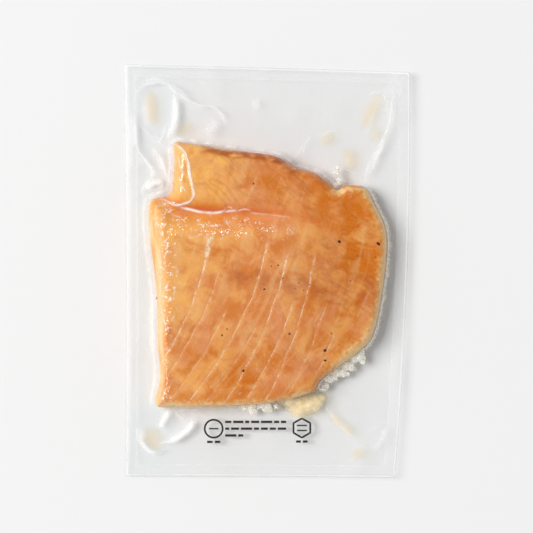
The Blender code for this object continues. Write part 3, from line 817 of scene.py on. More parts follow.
def film_masks(piece, at):
    """Stores where the upper film is sealed and tight, where it is painted cooler beside the fish, and
    where its hazy white, painted sheen, painted crease highlights and painted glints go.
    """
    set_mask(piece, "seal", fall(at.to_rim, SEAL_WIDTH - 0.6, SEAL_WIDTH))
    set_mask(piece, "to_rim", np.clip(at.to_rim, 0.0, MASK_REACH), MASK_REACH)
    set_mask(piece, "tight", ramp(at.depth, -1.0, 1.0))
    set_mask(piece, "crease_highlight", crease_glow(at))
    # Painted cooling: the film beside the fish's left side is tinted blue to take out the orange light
    # that the fish throws onto the floor
    beside = np.exp(np.minimum(at.depth, 0.0) / 20.0) * ramp(-at.x, 44.0, 58.0)
    set_mask(piece, "bounce_cooling", beside * fall(at.depth, -0.6, 0.4))
    # Painted white halo round the fish: partly froth and crinkled film, partly painted light,
    # strongest at the top where it lightens the shade beside the fish's edge
    collar = bell(at.depth + 1.3, 0.9) * ramp(at.wobble(3.0, 31), -0.3, 0.4)
    collar = collar * (0.8 - 0.65 * ramp(at.x, 38.0, 50.0)) * (1.0 + 1.4 * ramp(at.y, 42.0, 56.0))
    # Painted sheen: soft white clouds on the margins, most on the left and in the far corner, with the
    # sheens along the slack film
    left_side = 0.5 * ramp(-at.x, 62.0, 74.0) * ramp(at.y, -90.0, 40.0)
    far_corner = ramp(at.x, 30.0, 60.0) * ramp(at.y, 96.0, 110.0)
    clouds = 0.30 * (left_side + far_corner)
    clouds = clouds + 0.35 * ramp(at.wobble(21.0, 36), 0.05, 0.6)
    clouds = clouds * ramp(-at.depth, 2.0, 8.0) + 2.2 * sheen(at)
    set_mask(piece, "haze_and_sheen", np.clip(collar + clouds, 0.0, 2.4))
    # Where the film is pebbled: its gloss is bumped there, and small glints are painted white, on the
    # crest, the left shoulder and in specks
    crest = bell(at.fold + 9.0, 5.0) * fall(at.x, -25.0, 30.0)
    shoulder = bell(at.x + 55.5, 5.0) * (0.35 + 0.65 * ramp(at.y, -50.0, 0.0))
    shoulder = shoulder * ramp(-at.fold, 1.0, 5.0)
    speckle = ramp(at.wobble(5.0, 33), 0.15, 0.6) * ramp(at.x, -46.0, -38.0)
    pebbles_and_glints = np.clip(1.3 * shoulder + 1.1 * crest, 0.0, 1.3) + 0.12 * speckle
    set_mask(piece, "pebbles_and_glints", np.clip(pebbles_and_glints, 0.0, 1.3) * ramp(at.depth, 0.0, 2.0))


def flake_masks(piece, at):
    """Stores how far each point is from the nearest flake line, and how that line shows."""
    gap = np.full(len(at.xy), 9.0)
    strength = np.zeros(len(at.xy))
    breadth = np.full(len(at.xy), 0.3)
    for flake_x, far_y, lean, shows, far_width in FLAKES:
        across = np.abs(at.x - flake_line(flake_x, lean, at.y))
        fade = shows * ramp(far_y - at.y, -1.0, 4.0) * ramp(at.depth, 0.8, 3.0)
        width = 0.25 + far_width * fall(far_y - at.y, 4.0, 22.0)
        closer = across < gap
        gap = np.where(closer, across, gap)
        strength = np.where(closer, fade, strength)
        breadth = np.where(closer, width, breadth)
    set_mask(piece, "line_gap", gap)
    set_mask(piece, "line_strength", strength)
    set_mask(piece, "line_width", breadth)
    set_mask(piece, "across", at.x + flake_lean(at.y))


def tone_masks(piece, at):
    """Stores how the fibres run and where the open flesh is deep, golden or worn, with painted light
    on the left and the crest and painted shade in the fold.
    """
    along, across = fibres(at)
    set_mask(piece, "fibre_along", along)
    set_mask(piece, "fibre_across", across)
    fibrous = np.maximum(ramp(at.fold, -3.0, 3.0), ramp(at.x, 8.0, 40.0))
    set_mask(piece, "fibrous", np.clip(fibrous + 0.15, 0.0, 1.0))
    near_side = 0.62 * ramp(-at.y, 34.0, 66.0) * (0.35 + 0.65 * ramp(at.x, -52.0, -22.0))
    tone = 0.20 + 0.05 * ramp(at.fold, -2.0, 6.0) + 0.55 * ramp(at.x, 8.0, 52.0) + near_side
    tone = tone + 0.22 * at.wobble(19.0, 42) + 0.15 * at.wobble(8.0, 43)
    set_mask(piece, "tone", np.clip(tone, 0.0, 1.0))
    # Painted shade in the fold: a dark core in its valley and a deeper, warmer orange round it
    fading = fall(at.fold_along, 0.1, 0.95)
    set_mask(piece, "crease", fading * bell(at.fold - 0.4, 1.9))
    warmth = fading * bell(at.fold + 2.0, 8.0)
    right = ramp(at.x, 26.0, 46.0) * ramp(at.y, -16.0, 4.0)
    set_mask(piece, "painted_fold_shade", warmth)
    set_mask(piece, "golden", np.maximum(warmth, right))
    # Painted light: lighter flesh on the left side, which faces the lamp, and on the slope below the
    # fold that faces it
    light = (0.36 + 0.64 * ramp(at.fold, 0.0, 5.0)) * ramp(-at.x, 4.0, 40.0)
    light = light + 0.6 * bell(at.fold + 12.0, 6.0) * fading
    set_mask(piece, "light", np.clip(light + 0.3 * at.wobble(13.0, 46), 0.0, 1.0))
    front = ramp(-at.y, 52.0, 62.0) * fall(at.depth, 5.0, 12.0) * ramp(at.depth, 1.5, 3.0)
    set_mask(piece, "front", front * fall(at.x, 0.0, 20.0))
    distance, along, _ = near(smooth_path(BAND_LINE, 2.0), at.xy)
    worn = at.wobble(7.0, 44) + 0.5 * at.wobble(2.4, 38)
    band = bell(distance, BAND_HALF_WIDTH) * ramp(worn, -0.7, 0.5)
    set_mask(piece, "band", band * ramp(along, 0.02, 0.2))


def edge_masks(piece, at):
    """Stores the bevelled left side, paler with fat and painted light, the facet above it, painted
    lighter where it faces the lamp, the pale rim and the brown edge of the fish.
    """
    set_mask(piece, "depth", np.clip(at.depth, 0.0, MASK_REACH))
    # The bevelled left side is paler: partly streaks of fat, partly painted light on the side that
    # faces the lamp
    widening = ramp(at.y, -70.0, 35.0)
    bevel = at.left * fall(at.depth, 2.0 + 3.0 * widening, 4.5 + 5.0 * widening)
    set_mask(piece, "bevel", bevel * ramp(-at.fold, -2.0, 3.0))
    # Painted light: the upper lobe's left facet, which faces the lamp, is painted lighter
    facet = at.left * fall(at.depth, 8.0, 13.0)
    set_mask(piece, "facet", facet * ramp(at.fold, -1.0, 4.0))
    right = ramp(at.x, 22.0, 44.0) * ramp(50.0 - at.y, 0.0, 6.0)
    side = np.maximum(right, 0.8 * ramp(-at.y, 66.0, 74.0))
    width = 7.4 + 4.5 * ramp(-at.y, 20.0, 40.0)
    width = width + 2.6 * wobble(at.round * FISH_GIRTH, at.y * 0.0, 9.0, 41)
    width = width + 1.5 * at.wobble(3.0, 47)
    # The corner by the jelly is painted pale: partly the pale flesh by the jelly, partly painted light
    # over the shade that the fish's wall casts there
    corner = bell(np.hypot((at.x - 21.0) / 1.7, at.y + 70.0), 5.5)
    rim = side * fall(at.depth, 0.8, width) + 0.9 * corner
    set_mask(piece, "rim", np.clip(rim, 0.0, 1.0))
    brown = ramp(at.x, -46.0, -24.0) * fall(at.x, 12.0, 22.0) * ramp(at.y, 50.0, 56.0)
    brown = brown * bell(at.depth - 3.0 - 1.6 * at.wobble(8.0, 48), 2.2)
    torn = at.wobble(6.0, 45) + 0.7 * wobble(at.x / 2.2, at.y, 1.7, 49)
    brown = brown * ramp(torn, -0.6, 0.15)
    set_mask(piece, "brown", np.clip(1.3 * brown, 0.0, 1.0))


def make_flesh():
    """The fish: rounded sides, a level base and an upper face with its fold and flakes."""
    rings = [shifted(FLESH_LOOP, depth) for depth in WALL_RINGS]
    grid = fish_grid(FISH_GRID, 1)
    xy, faces = triangulated(FLESH_LOOP, rings, flake_lines(), [(grid, FISH_GRID)])
    base_rings = [shifted(FLESH_LOOP, depth) for depth in FLESH_BASE_RINGS]
    base_grid = fish_grid(FLESH_BASE_GRID, 1)
    base_xy, base_faces = triangulated(FLESH_LOOP, base_rings, [], [(base_grid, FLESH_BASE_GRID)])
    flesh = closed_body(
        "salmon_flesh", FLESH_LOOP,
        (xy, faces, flesh_top(Places(xy))), (base_xy, base_faces, flesh_bottom(Places(base_xy))),
    )
    everywhere = Places(np.concatenate((xy, base_xy)))
    for store in (flake_masks, tone_masks, edge_masks):
        store(flesh, everywhere)
    return flesh


def lump(mesh, centre, radii, turn, rough, seed, detail=3):
    """Adds a closed, uneven rounded lump to a mesh in the making, sizes in millimetres."""
    made = bmesh.ops.create_icosphere(mesh, subdivisions=detail, radius=1.0)
    rotation = Matrix.Rotation(math.radians(turn), 3, "Z")
    for vert in made["verts"]:
        place = vert.co * 1.3 + Vector((seed * 3.7, seed * 1.9, 0.0))
        swollen = vert.co * (1.0 + rough * noise.noise(place) + 0.4 * rough * noise.noise(place * 2.7))
        scaled = rotation @ Vector((swollen.x * radii[0], swollen.y * radii[1], swollen.z * radii[2]))
        vert.co = (scaled + Vector(centre)) * MILLIMETRE


def finish_mesh(name, mesh):
    """Turns a mesh in the making into an object."""
    data = bpy.data.meshes.new(name)
    mesh.to_mesh(data)
    mesh.free()
    return placed(name, data)


def skin(mesh, rows, closed=False):
    """Adds the faces of a long shape from its rows of points, each row going round it. Its
    ends are faces too, unless its last row meets its first."""
    count, around = len(rows), len(rows[0])
    for i in range(count if closed else count - 1):
        a, b = rows[i], rows[(i + 1) % count]
        for k in range(around):
            mesh.faces.new((a[k], b[k], b[(k + 1) % around], a[(k + 1) % around]))
    if not closed:
        mesh.faces.new(rows[0])
        mesh.faces.new(rows[-1][::-1])


def wedge(mesh, run, widths):
    """Adds a thin ragged strip that fills the corner between the fish and the two films.
    Returns its points' masks: 1 beside the fish, down to 0 at the strip's outer edge, and
    on its underside the other way round."""
    outwards = leftwards(run)
    upper, lower = [], []
    for j in range(FRINGE_COLUMNS):
        t = j / (FRINGE_COLUMNS - 1)
        place = run + outwards * (t * (widths + FRINGE_INSET) - FRINGE_INSET)[:, None]
        at = Places(place)
        above, below = film_top(at), film_bottom(at)
        middle = (above + below) / 2
        swell = math.sqrt(max(0.0, 1.0 - t ** 2))
        top = middle + (above - FRINGE_GAP - middle) * swell
        bottom = middle + (below + FRINGE_GAP - middle) * swell
        upper.append(np.column_stack((place, top)))
        lower.append(np.column_stack((place, bottom)))
    rows = []
    for i in range(len(run)):
        points = [column[i] for column in upper] + [column[i] for column in lower[:-1]]
        made = [mesh.verts.new(Vector(point) * MILLIMETRE) for point in points]
        rows.append(made[:FRINGE_COLUMNS] + made[FRINGE_COLUMNS:][::-1])
    skin(mesh, rows)
    shares = [1.0 - j / (FRINGE_COLUMNS - 1) for j in range(FRINGE_COLUMNS - 1)]
    return (shares + [0.0] + shares[::-1]) * len(run)


def make_fringe():
    """The pale fringe of froth along the right of the fish."""
    mesh = bmesh.new()
    masks = []
    loop = smooth_path(FISH_OUTLINE, FRINGE_STEP, closed=True)
    x, y = loop[:, 0], loop[:, 1]
    for k, (left, right, front, back, width) in enumerate(FRINGES):
        run = loop[(x > left) & (x < right) & (y > front) & (y < back)]
        along = np.linspace(0.0, 1.0, len(run))
        ends = ramp(along, 0.0, 0.08) * fall(along, 0.92, 1.0)
        length = along * len(run) * FRINGE_STEP
        ragged = 0.75 + 0.5 * wobble(length, along * 0.0, 4.0, 71 + k)
        ragged = ragged + 0.5 * wobble(length, along * 0.0, 1.5, 81 + k)
        masks += wedge(mesh, run, width * np.clip(ragged, 0.3, 1.6) * ends + 0.1)
    bmesh.ops.recalc_face_normals(mesh, faces=mesh.faces)
    piece = finish_mesh("fat_fringe", mesh)
    set_mask(piece, "edge", np.array(masks))
    return piece


def make_crumbs():
    """Crumbs of fat that came off the fish, each a cluster of uneven lumps."""
    rng = random.Random(CRUMB_SEED)
    mesh = bmesh.new()
    crumbs = CRUMBS[3:] + CRUMB_BITS
    sheet = sheet_middle(Places(np.array([c[:2] for c in crumbs])))
    for (x, y, radius, rise), level in zip(crumbs, sheet):
        for k in range(LUMPS_PER_CRUMB):
            angle = 80.0 * k + rng.uniform(-30.0, 30.0)
            reach = radius * (rng.uniform(0.35, 0.7) if k else 0.0)
            size = radius * rng.uniform(0.44, 0.62)
            height = level + 0.2 + (rise - 0.5) * rng.uniform(0.3, 0.6) * (1 - 0.5 * reach / radius)
            place = (x + reach * math.cos(math.radians(angle)),
                     y + reach * math.sin(math.radians(angle)), height)
            radii = (size, size * rng.uniform(0.65, 1.0), min(size, rise * 0.34))
            lump(mesh, place, radii, rng.uniform(0, 180), ROUGHNESS, rng.random() * 40)
    return finish_mesh("fat_crumbs", mesh)


def make_jelly():
    """The blob of jelly at the front of the fish."""
    mesh = bmesh.new()
    blobs = CRUMBS[:3] + JELLY_BITS
    level = SEAM_HEIGHT - 0.25
    for k, (x, y, radius, rise) in enumerate(blobs):
        radii = (radius * 1.1, radius, rise * 0.46)
        lump(mesh, (x, y + 0.8, level + rise * 0.2), radii, 20.0 * k, ROUGHNESS, k + 2)
    piece = finish_mesh("jelly", mesh)
    remesh = piece.modifiers.new("one_skin", "REMESH")
    remesh.mode = "VOXEL"
    remesh.voxel_size = JELLY_VOXEL * MILLIMETRE
    remesh.use_smooth_shade = True
    smooth = piece.modifiers.new("soften", "SMOOTH")
    smooth.iterations = 12
    piece = applied(piece)
    xy = np.array([v.co[:2] for v in piece.data.vertices]) / MILLIMETRE
    within = np.full(len(xy), -9.0)
    for x, y, radius, _ in blobs:
        within = np.maximum(within, radius - np.hypot(xy[:, 0] - x, xy[:, 1] - y - 0.6))
    set_mask(piece, "edge", ramp(within, -0.6, 4.4))
    return piece


def applied(piece):
    """The piece with its modifiers made part of its mesh."""
    graph = bpy.context.evaluated_depsgraph_get()
    made = bpy.data.meshes.new_from_object(piece.evaluated_get(graph))
    piece.modifiers.clear()
    piece.data = made
    made.shade_smooth()
    return piece


def make_stains():
    """Thin pools of dried brine in the gap between the two films."""
    pieces = []
    angles = np.arange(0, 2 * math.pi, 2 * math.pi / STAIN_SIDES)
    for k, (x, y, half_length, half_width, turn) in enumerate(STAINS):
        swell = 1.0 + 0.30 * wobble(np.cos(angles) * 2, np.sin(angles) * 2, 1.6, 50 + k)
        c, s = math.cos(math.radians(turn)), math.sin(math.radians(turn))
        u, v = np.cos(angles) * half_length * swell, np.sin(angles) * half_width * swell
        rim = np.stack((x + u * c - v * s, y + u * s + v * c), axis=1)[::-1]
        grid = hexagonal_grid(rim.min(axis=0), rim.max(axis=0), STAIN_GRID)
        xy, faces = triangulated(rim, [], [], [(grid, STAIN_GRID)])
        floor = film_bottom(Places(xy))
        top, bottom = floor + STAIN_TOP, floor + STAIN_BOTTOM
        piece = closed_body("pool", rim, (xy, faces, top), (xy, faces, bottom))
        set_mask(piece, "edge", near(rim, xy, closed=True)[0] / half_width)
        pieces.append(piece)
    whole = joined("brine_stains", pieces)
    whole.data.set_sharp_from_angle(angle=math.radians(STAIN_SHARPNESS))
    return whole


def joined(name, pieces):
    """One object from several, keeping their masks."""
    with bpy.context.temp_override(active_object=pieces[0], selected_editable_objects=pieces,
                                   selected_objects=pieces, object=pieces[0]):
        bpy.ops.object.join()
    pieces[0].name = name
    pieces[0].data.name = name
    return pieces[0]


def make_specks():
    """Specks of pepper, pressed into the fish by the film."""
    rng = random.Random(SPECK_SEED)
    mesh = bmesh.new()
    level = flesh_top(Places(np.array([s[:2] for s in SPECKS])))
    dark = []
    for (x, y, radius, shade), z in zip(SPECKS, level):
        before = len(mesh.verts)
        radii = (radius, radius * rng.uniform(0.55, 0.9), radius * 0.35)
        place = (x, y, z + 0.02)
        lump(mesh, place, radii, rng.uniform(0, 180), ROUGHNESS, rng.random() * 40)
        dark += [shade] * (len(mesh.verts) - before)
    piece = finish_mesh("pepper_specks", mesh)
    set_mask(piece, "dark", np.array(dark))
    return piece


def ribbon(mesh, path, width, closed=False):
    """A flat printed line on the film."""
    points = np.asarray(path, float)
    if closed:
        run = np.roll(points, -1, axis=0) - np.roll(points, 1, axis=0)
    else:
        run = np.gradient(points, axis=0)
    run /= np.hypot(run[:, 0], run[:, 1])[:, None]
    side = np.stack((-run[:, 1], run[:, 0]), axis=1) * width / 2
    left, right = points + side, points - side
    level = film_top(Places(points)) + INK_HEIGHT
    rows = []
    for (lx, ly), (rx, ry), z in zip(left, right, level):
        low = z - INK_THICKNESS
        corners = ((lx, ly, z), (rx, ry, z), (rx, ry, low), (lx, ly, low))
        rows.append([mesh.verts.new(Vector(corner) * MILLIMETRE) for corner in corners])
    skin(mesh, rows, closed)


def line(start, end):
    """Points along a straight line."""
    start, end = np.array(start, float), np.array(end, float)
    count = max(2, round(float(np.linalg.norm(end - start)) / MARK_STEP) + 1)
    return start + (end - start) * np.linspace(0.0, 1.0, count)[:, None]


def polygon(centre, radius, corners, turn):
    """Points along the sides of a regular polygon."""
    angles = [math.radians(turn + 360.0 * k / corners) for k in range(corners)]
    knots = [(centre[0] + radius * math.cos(a), centre[1] + radius * math.sin(a)) for a in angles]
    sides = [line(knot, knots[(k + 1) % corners])[:-1] for k, knot in enumerate(knots)]
    return np.concatenate(sides)


def make_marks():
    """Plain printed shapes: a ring and a hexagon with rows of dashes between them."""
    mesh = bmesh.new()
    ribbon(mesh, polygon(RING_CENTRE, RING_RADIUS, 40, 0.0), MARK_LINE * 1.3, closed=True)
    x, y = RING_CENTRE
    ribbon(mesh, line((x - 2.6, y), (x + 2.6, y)), MARK_LINE)
    ribbon(mesh, polygon(HEXAGON_CENTRE, HEXAGON_RADIUS, 6, 30.0), MARK_LINE * 1.3, closed=True)
    x, y = HEXAGON_CENTRE
    for bar_y in (y + 1.4, y - 1.4):
        ribbon(mesh, line((x - 2.8, bar_y), (x + 2.8, bar_y)), MARK_LINE)
    for row, (start, end, y) in enumerate(DASH_ROWS):
        x, k = start, row * 2
        while x < end - 1.5:
            length = min(DASH_LENGTHS[k % len(DASH_LENGTHS)], end - x)
            ribbon(mesh, line((x, y), (x + length, y)), DASH_HEIGHT)
            x += length + DASH_GAP
            k += 1
    for x, y, length in CAPTIONS:
        ribbon(mesh, line((x - length / 2, y), (x - 0.6, y)), DASH_HEIGHT)
        ribbon(mesh, line((x + 0.6, y), (x + length / 2, y)), DASH_HEIGHT)
    bmesh.ops.recalc_face_normals(mesh, faces=mesh.faces)
    piece = finish_mesh("print_marks", mesh)
    piece.data.shade_flat()
    return piece


def make_bubbles():
    """Small air bubbles caught beside the fish."""
    rng = random.Random(BUBBLE_SEED)
    mesh = bmesh.new()
    loop = shifted(FISH_LOOP, -1.2)
    sheet = sheet_middle(Places(loop))
    for i, ((x, y), level) in enumerate(zip(loop, sheet)):
        if not (x > 52.0 and -42.0 < y < 44.0):
            continue
        for _ in range(2):
            radius = rng.uniform(*BUBBLE_RADII)
            place = (x + rng.uniform(-0.8, 1.0), y + rng.uniform(-0.6, 0.6),
                     level + rng.uniform(0.1, 1.0))
            lump(mesh, place, (radius,) * 3, 0.0, 0.0, i, 2)
    return finish_mesh("air_bubbles", mesh)


def linear(red, green, blue):
    """A colour in linear light from its 0 to 255 screen values."""
    def channel(value):
        value /= 255.0
        return value / 12.92 if value <= 0.04045 else ((value + 0.055) / 1.055) ** 2.4
    return (channel(red), channel(green), channel(blue), 1.0)


class Shading:
    """A node material, built a node at a time."""

    def __init__(self, name):
        self.material = bpy.data.materials.new(name)
        self.material.use_nodes = True
        self.tree = self.material.node_tree
        self.tree.nodes.clear()

    def add(self, kind, inputs=None, **settings):
        """A new node. Each input is a socket to link or a value to set."""
        node = self.tree.nodes.new("ShaderNode" + kind)
        for key, value in settings.items():
            setattr(node, key, value)
        for key, value in (inputs or {}).items():
            if isinstance(value, bpy.types.NodeSocket):
                self.tree.links.new(value, node.inputs[key])
            else:
                node.inputs[key].default_value = value
        return node

    def mask(self, name, share=None):
        """One of the piece's masks, or a share of it."""
        value = self.add("Attribute", attribute_name=name).outputs["Fac"]
        return value if share is None else self.times(value, share)

    def place(self, turn=0.0):
        """Coordinates in millimetres, turned about Z."""
        where = self.add("TexCoord").outputs["Object"]
        turned = self.add("VectorRotate", {"Vector": where, "Angle": math.radians(turn)},
                          rotation_type="Z_AXIS").outputs[0]
        scale = (1.0 / MILLIMETRE,) * 3
        return self.add("VectorMath", {0: turned, 1: scale}, operation="MULTIPLY").outputs[0]

    def plane(self, first, first_scale, second, second_scale):
        """Two numbers as a place, set off the noise's grid, where its cells would show."""
        return self.add("CombineXYZ", {"X": self.times(first, first_scale),
                                       "Y": self.times(second, second_scale),
                                       "Z": 0.37}).outputs[0]

    def noise(self, where, scale, detail=2.0, roughness=0.5, distortion=0.0):
        return self.add("TexNoise", {"Vector": where, "Scale": scale, "Detail": detail,
                                     "Roughness": roughness, "Distortion": distortion}).outputs["Fac"]

    def math(self, operation, first, second=0.0, third=0.0, clamp=False):
        return self.add("Math", {0: first, 1: second, 2: third}, operation=operation,
                        use_clamp=clamp).outputs[0]

    def times(self, first, second):
        return self.math("MULTIPLY", first, second)

    def off(self, value, centre):
        """How far a value is from the centre."""
        return self.math("ABSOLUTE", self.math("SUBTRACT", value, centre))

    def span(self, value, low, high, start=0.0, end=1.0):
        """Maps low to high onto start to end, smoothly and within them."""
        return self.add("MapRange", {"Value": value, "From Min": low, "From Max": high,
                                     "To Min": start, "To Max": end},
                        interpolation_type="SMOOTHSTEP").outputs["Result"]

    def mix(self, share, first, second):
        """The first colour, turning into the second as the share rises to 1."""
        return self.add("Mix", {0: share, 6: first, 7: second}, data_type="RGBA").outputs[2]

    def bump(self, height, strength, distance, normal=None):
        inputs = {"Height": height, "Strength": strength, "Distance": distance}
        if normal is not None:
            inputs["Normal"] = normal
        return self.add("Bump", inputs).outputs[0]

    def mix_shaders(self, share, first, second):
        return self.add("MixShader", {0: share, 1: first.outputs[0], 2: second.outputs[0]})

    def finish(self, shader):
        self.add("OutputMaterial", {"Surface": shader.outputs[0]})
        return self.material


def glossy_share(shade, level, slanted):
    """How much a clear film reflects: level face on, and more at a slant, from either side."""
    facing = shade.add("LayerWeight", {"Blend": 0.5}).outputs["Facing"]
    slant = shade.math("POWER", facing, 4.0)
    return shade.math("MULTIPLY_ADD", slant, slanted, level, clamp=True)


def cloudy(shade, colour, through):
    """A thin cloudy layer, lit evenly, that scatters light from above and some from below."""
    up = shade.add("CombineXYZ", {"X": 0.0, "Y": 0.0, "Z": 1.0}).outputs[0]
    above = shade.add("BsdfDiffuse", {"Color": colour, "Normal": up})
    below = shade.add("BsdfTranslucent", {"Color": (through, through, through, 1.0), "Normal": up})
    return shade.add("AddShader", {0: above.outputs[0], 1: below.outputs[0]})


def seal_line(shade, to_rim, place, width):
    """1 on a line at the given distance from the rim, fading to 0 over the width."""
    return shade.span(shade.off(to_rim, place), 0.0, width, 1.0, 0.0)


def film_material():
    """Clear film, tinted by what lies under it and hazy white in places, with a hatched seal and
    painted white highlights along its creases and seal and in glints.
    """
    shade = Shading("clear_film")
    where = shade.place()
    seal = shade.mask("seal")
    tight = shade.mask("tight")
    to_rim = shade.mask("to_rim")
    pebbles_and_glints = shade.mask("pebbles_and_glints")

    hatch = seal
    for turn in (32.0, -32.0):
        wave = {"Vector": shade.place(turn), "Scale": 0.5, "Distortion": 0.3}
        lines = shade.add("TexWave", wave, wave_type="BANDS").outputs["Fac"]
        hatch = shade.times(hatch, lines)
    grains = shade.times(shade.noise(where, 0.55, 1.0, 0.4), pebbles_and_glints)
    normal = shade.bump(hatch, 0.4, 0.0001, shade.bump(grains, 1.0, 0.0014))

    tint = shade.mix(tight, (0.982, 0.983, 0.983, 1.0), (0.998, 0.998, 0.998, 1.0))
    # Painted cooling against the fish's orange bounce light on the floor
    tint = shade.mix(shade.mask("bounce_cooling"), tint, (0.95, 0.984, 1.0, 1.0))
    # Painted shade: a darker line along the very rim
    tint = shade.mix(seal_line(shade, to_rim, 0.1, 0.6), tint, (0.90, 0.90, 0.905, 1.0))
    clear = shade.add("BsdfTransparent", {"Color": tint})
    gloss = shade.add("BsdfAnisotropic", {"Color": WHITE, "Normal": normal,
                                          "Roughness": shade.span(tight, 0.0, 1.0, 0.28, 0.08)})
    level = shade.span(tight, 0.0, 1.0, 0.018, 0.045)
    film = shade.mix_shaders(glossy_share(shade, level, 0.2), clear, gloss)

    # The white layer, lit evenly: hazy film and froth, and the painted sheen, highlights and glints
    white = cloudy(shade, shade.mix(tight, (0.86, 0.87, 0.87, 1.0), (0.97, 0.91, 0.84, 1.0)), 0.3)
    # Painted highlight along the creases, stronger over the fish
    ridge = shade.times(shade.mask("crease_highlight"), shade.span(tight, 0.0, 1.0, 0.58, 0.92))
    # Painted highlights: thin white lines along the seal's outer and inner edges
    inner_seal_highlight = shade.times(seal_line(shade, to_rim, 6.5, 0.5), 0.16)
    lines = shade.math("MULTIPLY_ADD", seal_line(shade, to_rim, 0.9, 0.5), 0.4, inner_seal_highlight)
    # Painted glints: thin wriggly white flecks in patches where the film is pebbled
    painted_glints = shade.span(shade.off(shade.noise(where, 0.42, 2.0, 0.55, 0.8), 0.5), 0.0, 0.05, 1.7, 0.0)
    patches = shade.span(shade.noise(where, 0.3, 2.0, 0.6), 0.52, 0.6)
    painted_glints = shade.times(shade.times(painted_glints, patches), pebbles_and_glints)
    # Share of the white layer: the seal's whiteness and the film's hazy white with painted sheen, plus
    # painted crease highlights, painted glints and painted seal highlights
    haze_and_sheen = shade.math("MULTIPLY_ADD", seal, 0.05, shade.mask("haze_and_sheen", 0.28))
    haze_and_sheen = shade.math("ADD", shade.math("ADD", haze_and_sheen, ridge), painted_glints)
    haze_and_sheen = shade.math("ADD", haze_and_sheen, lines, clamp=True)
    return shade.finish(shade.mix_shaders(haze_and_sheen, film, white))


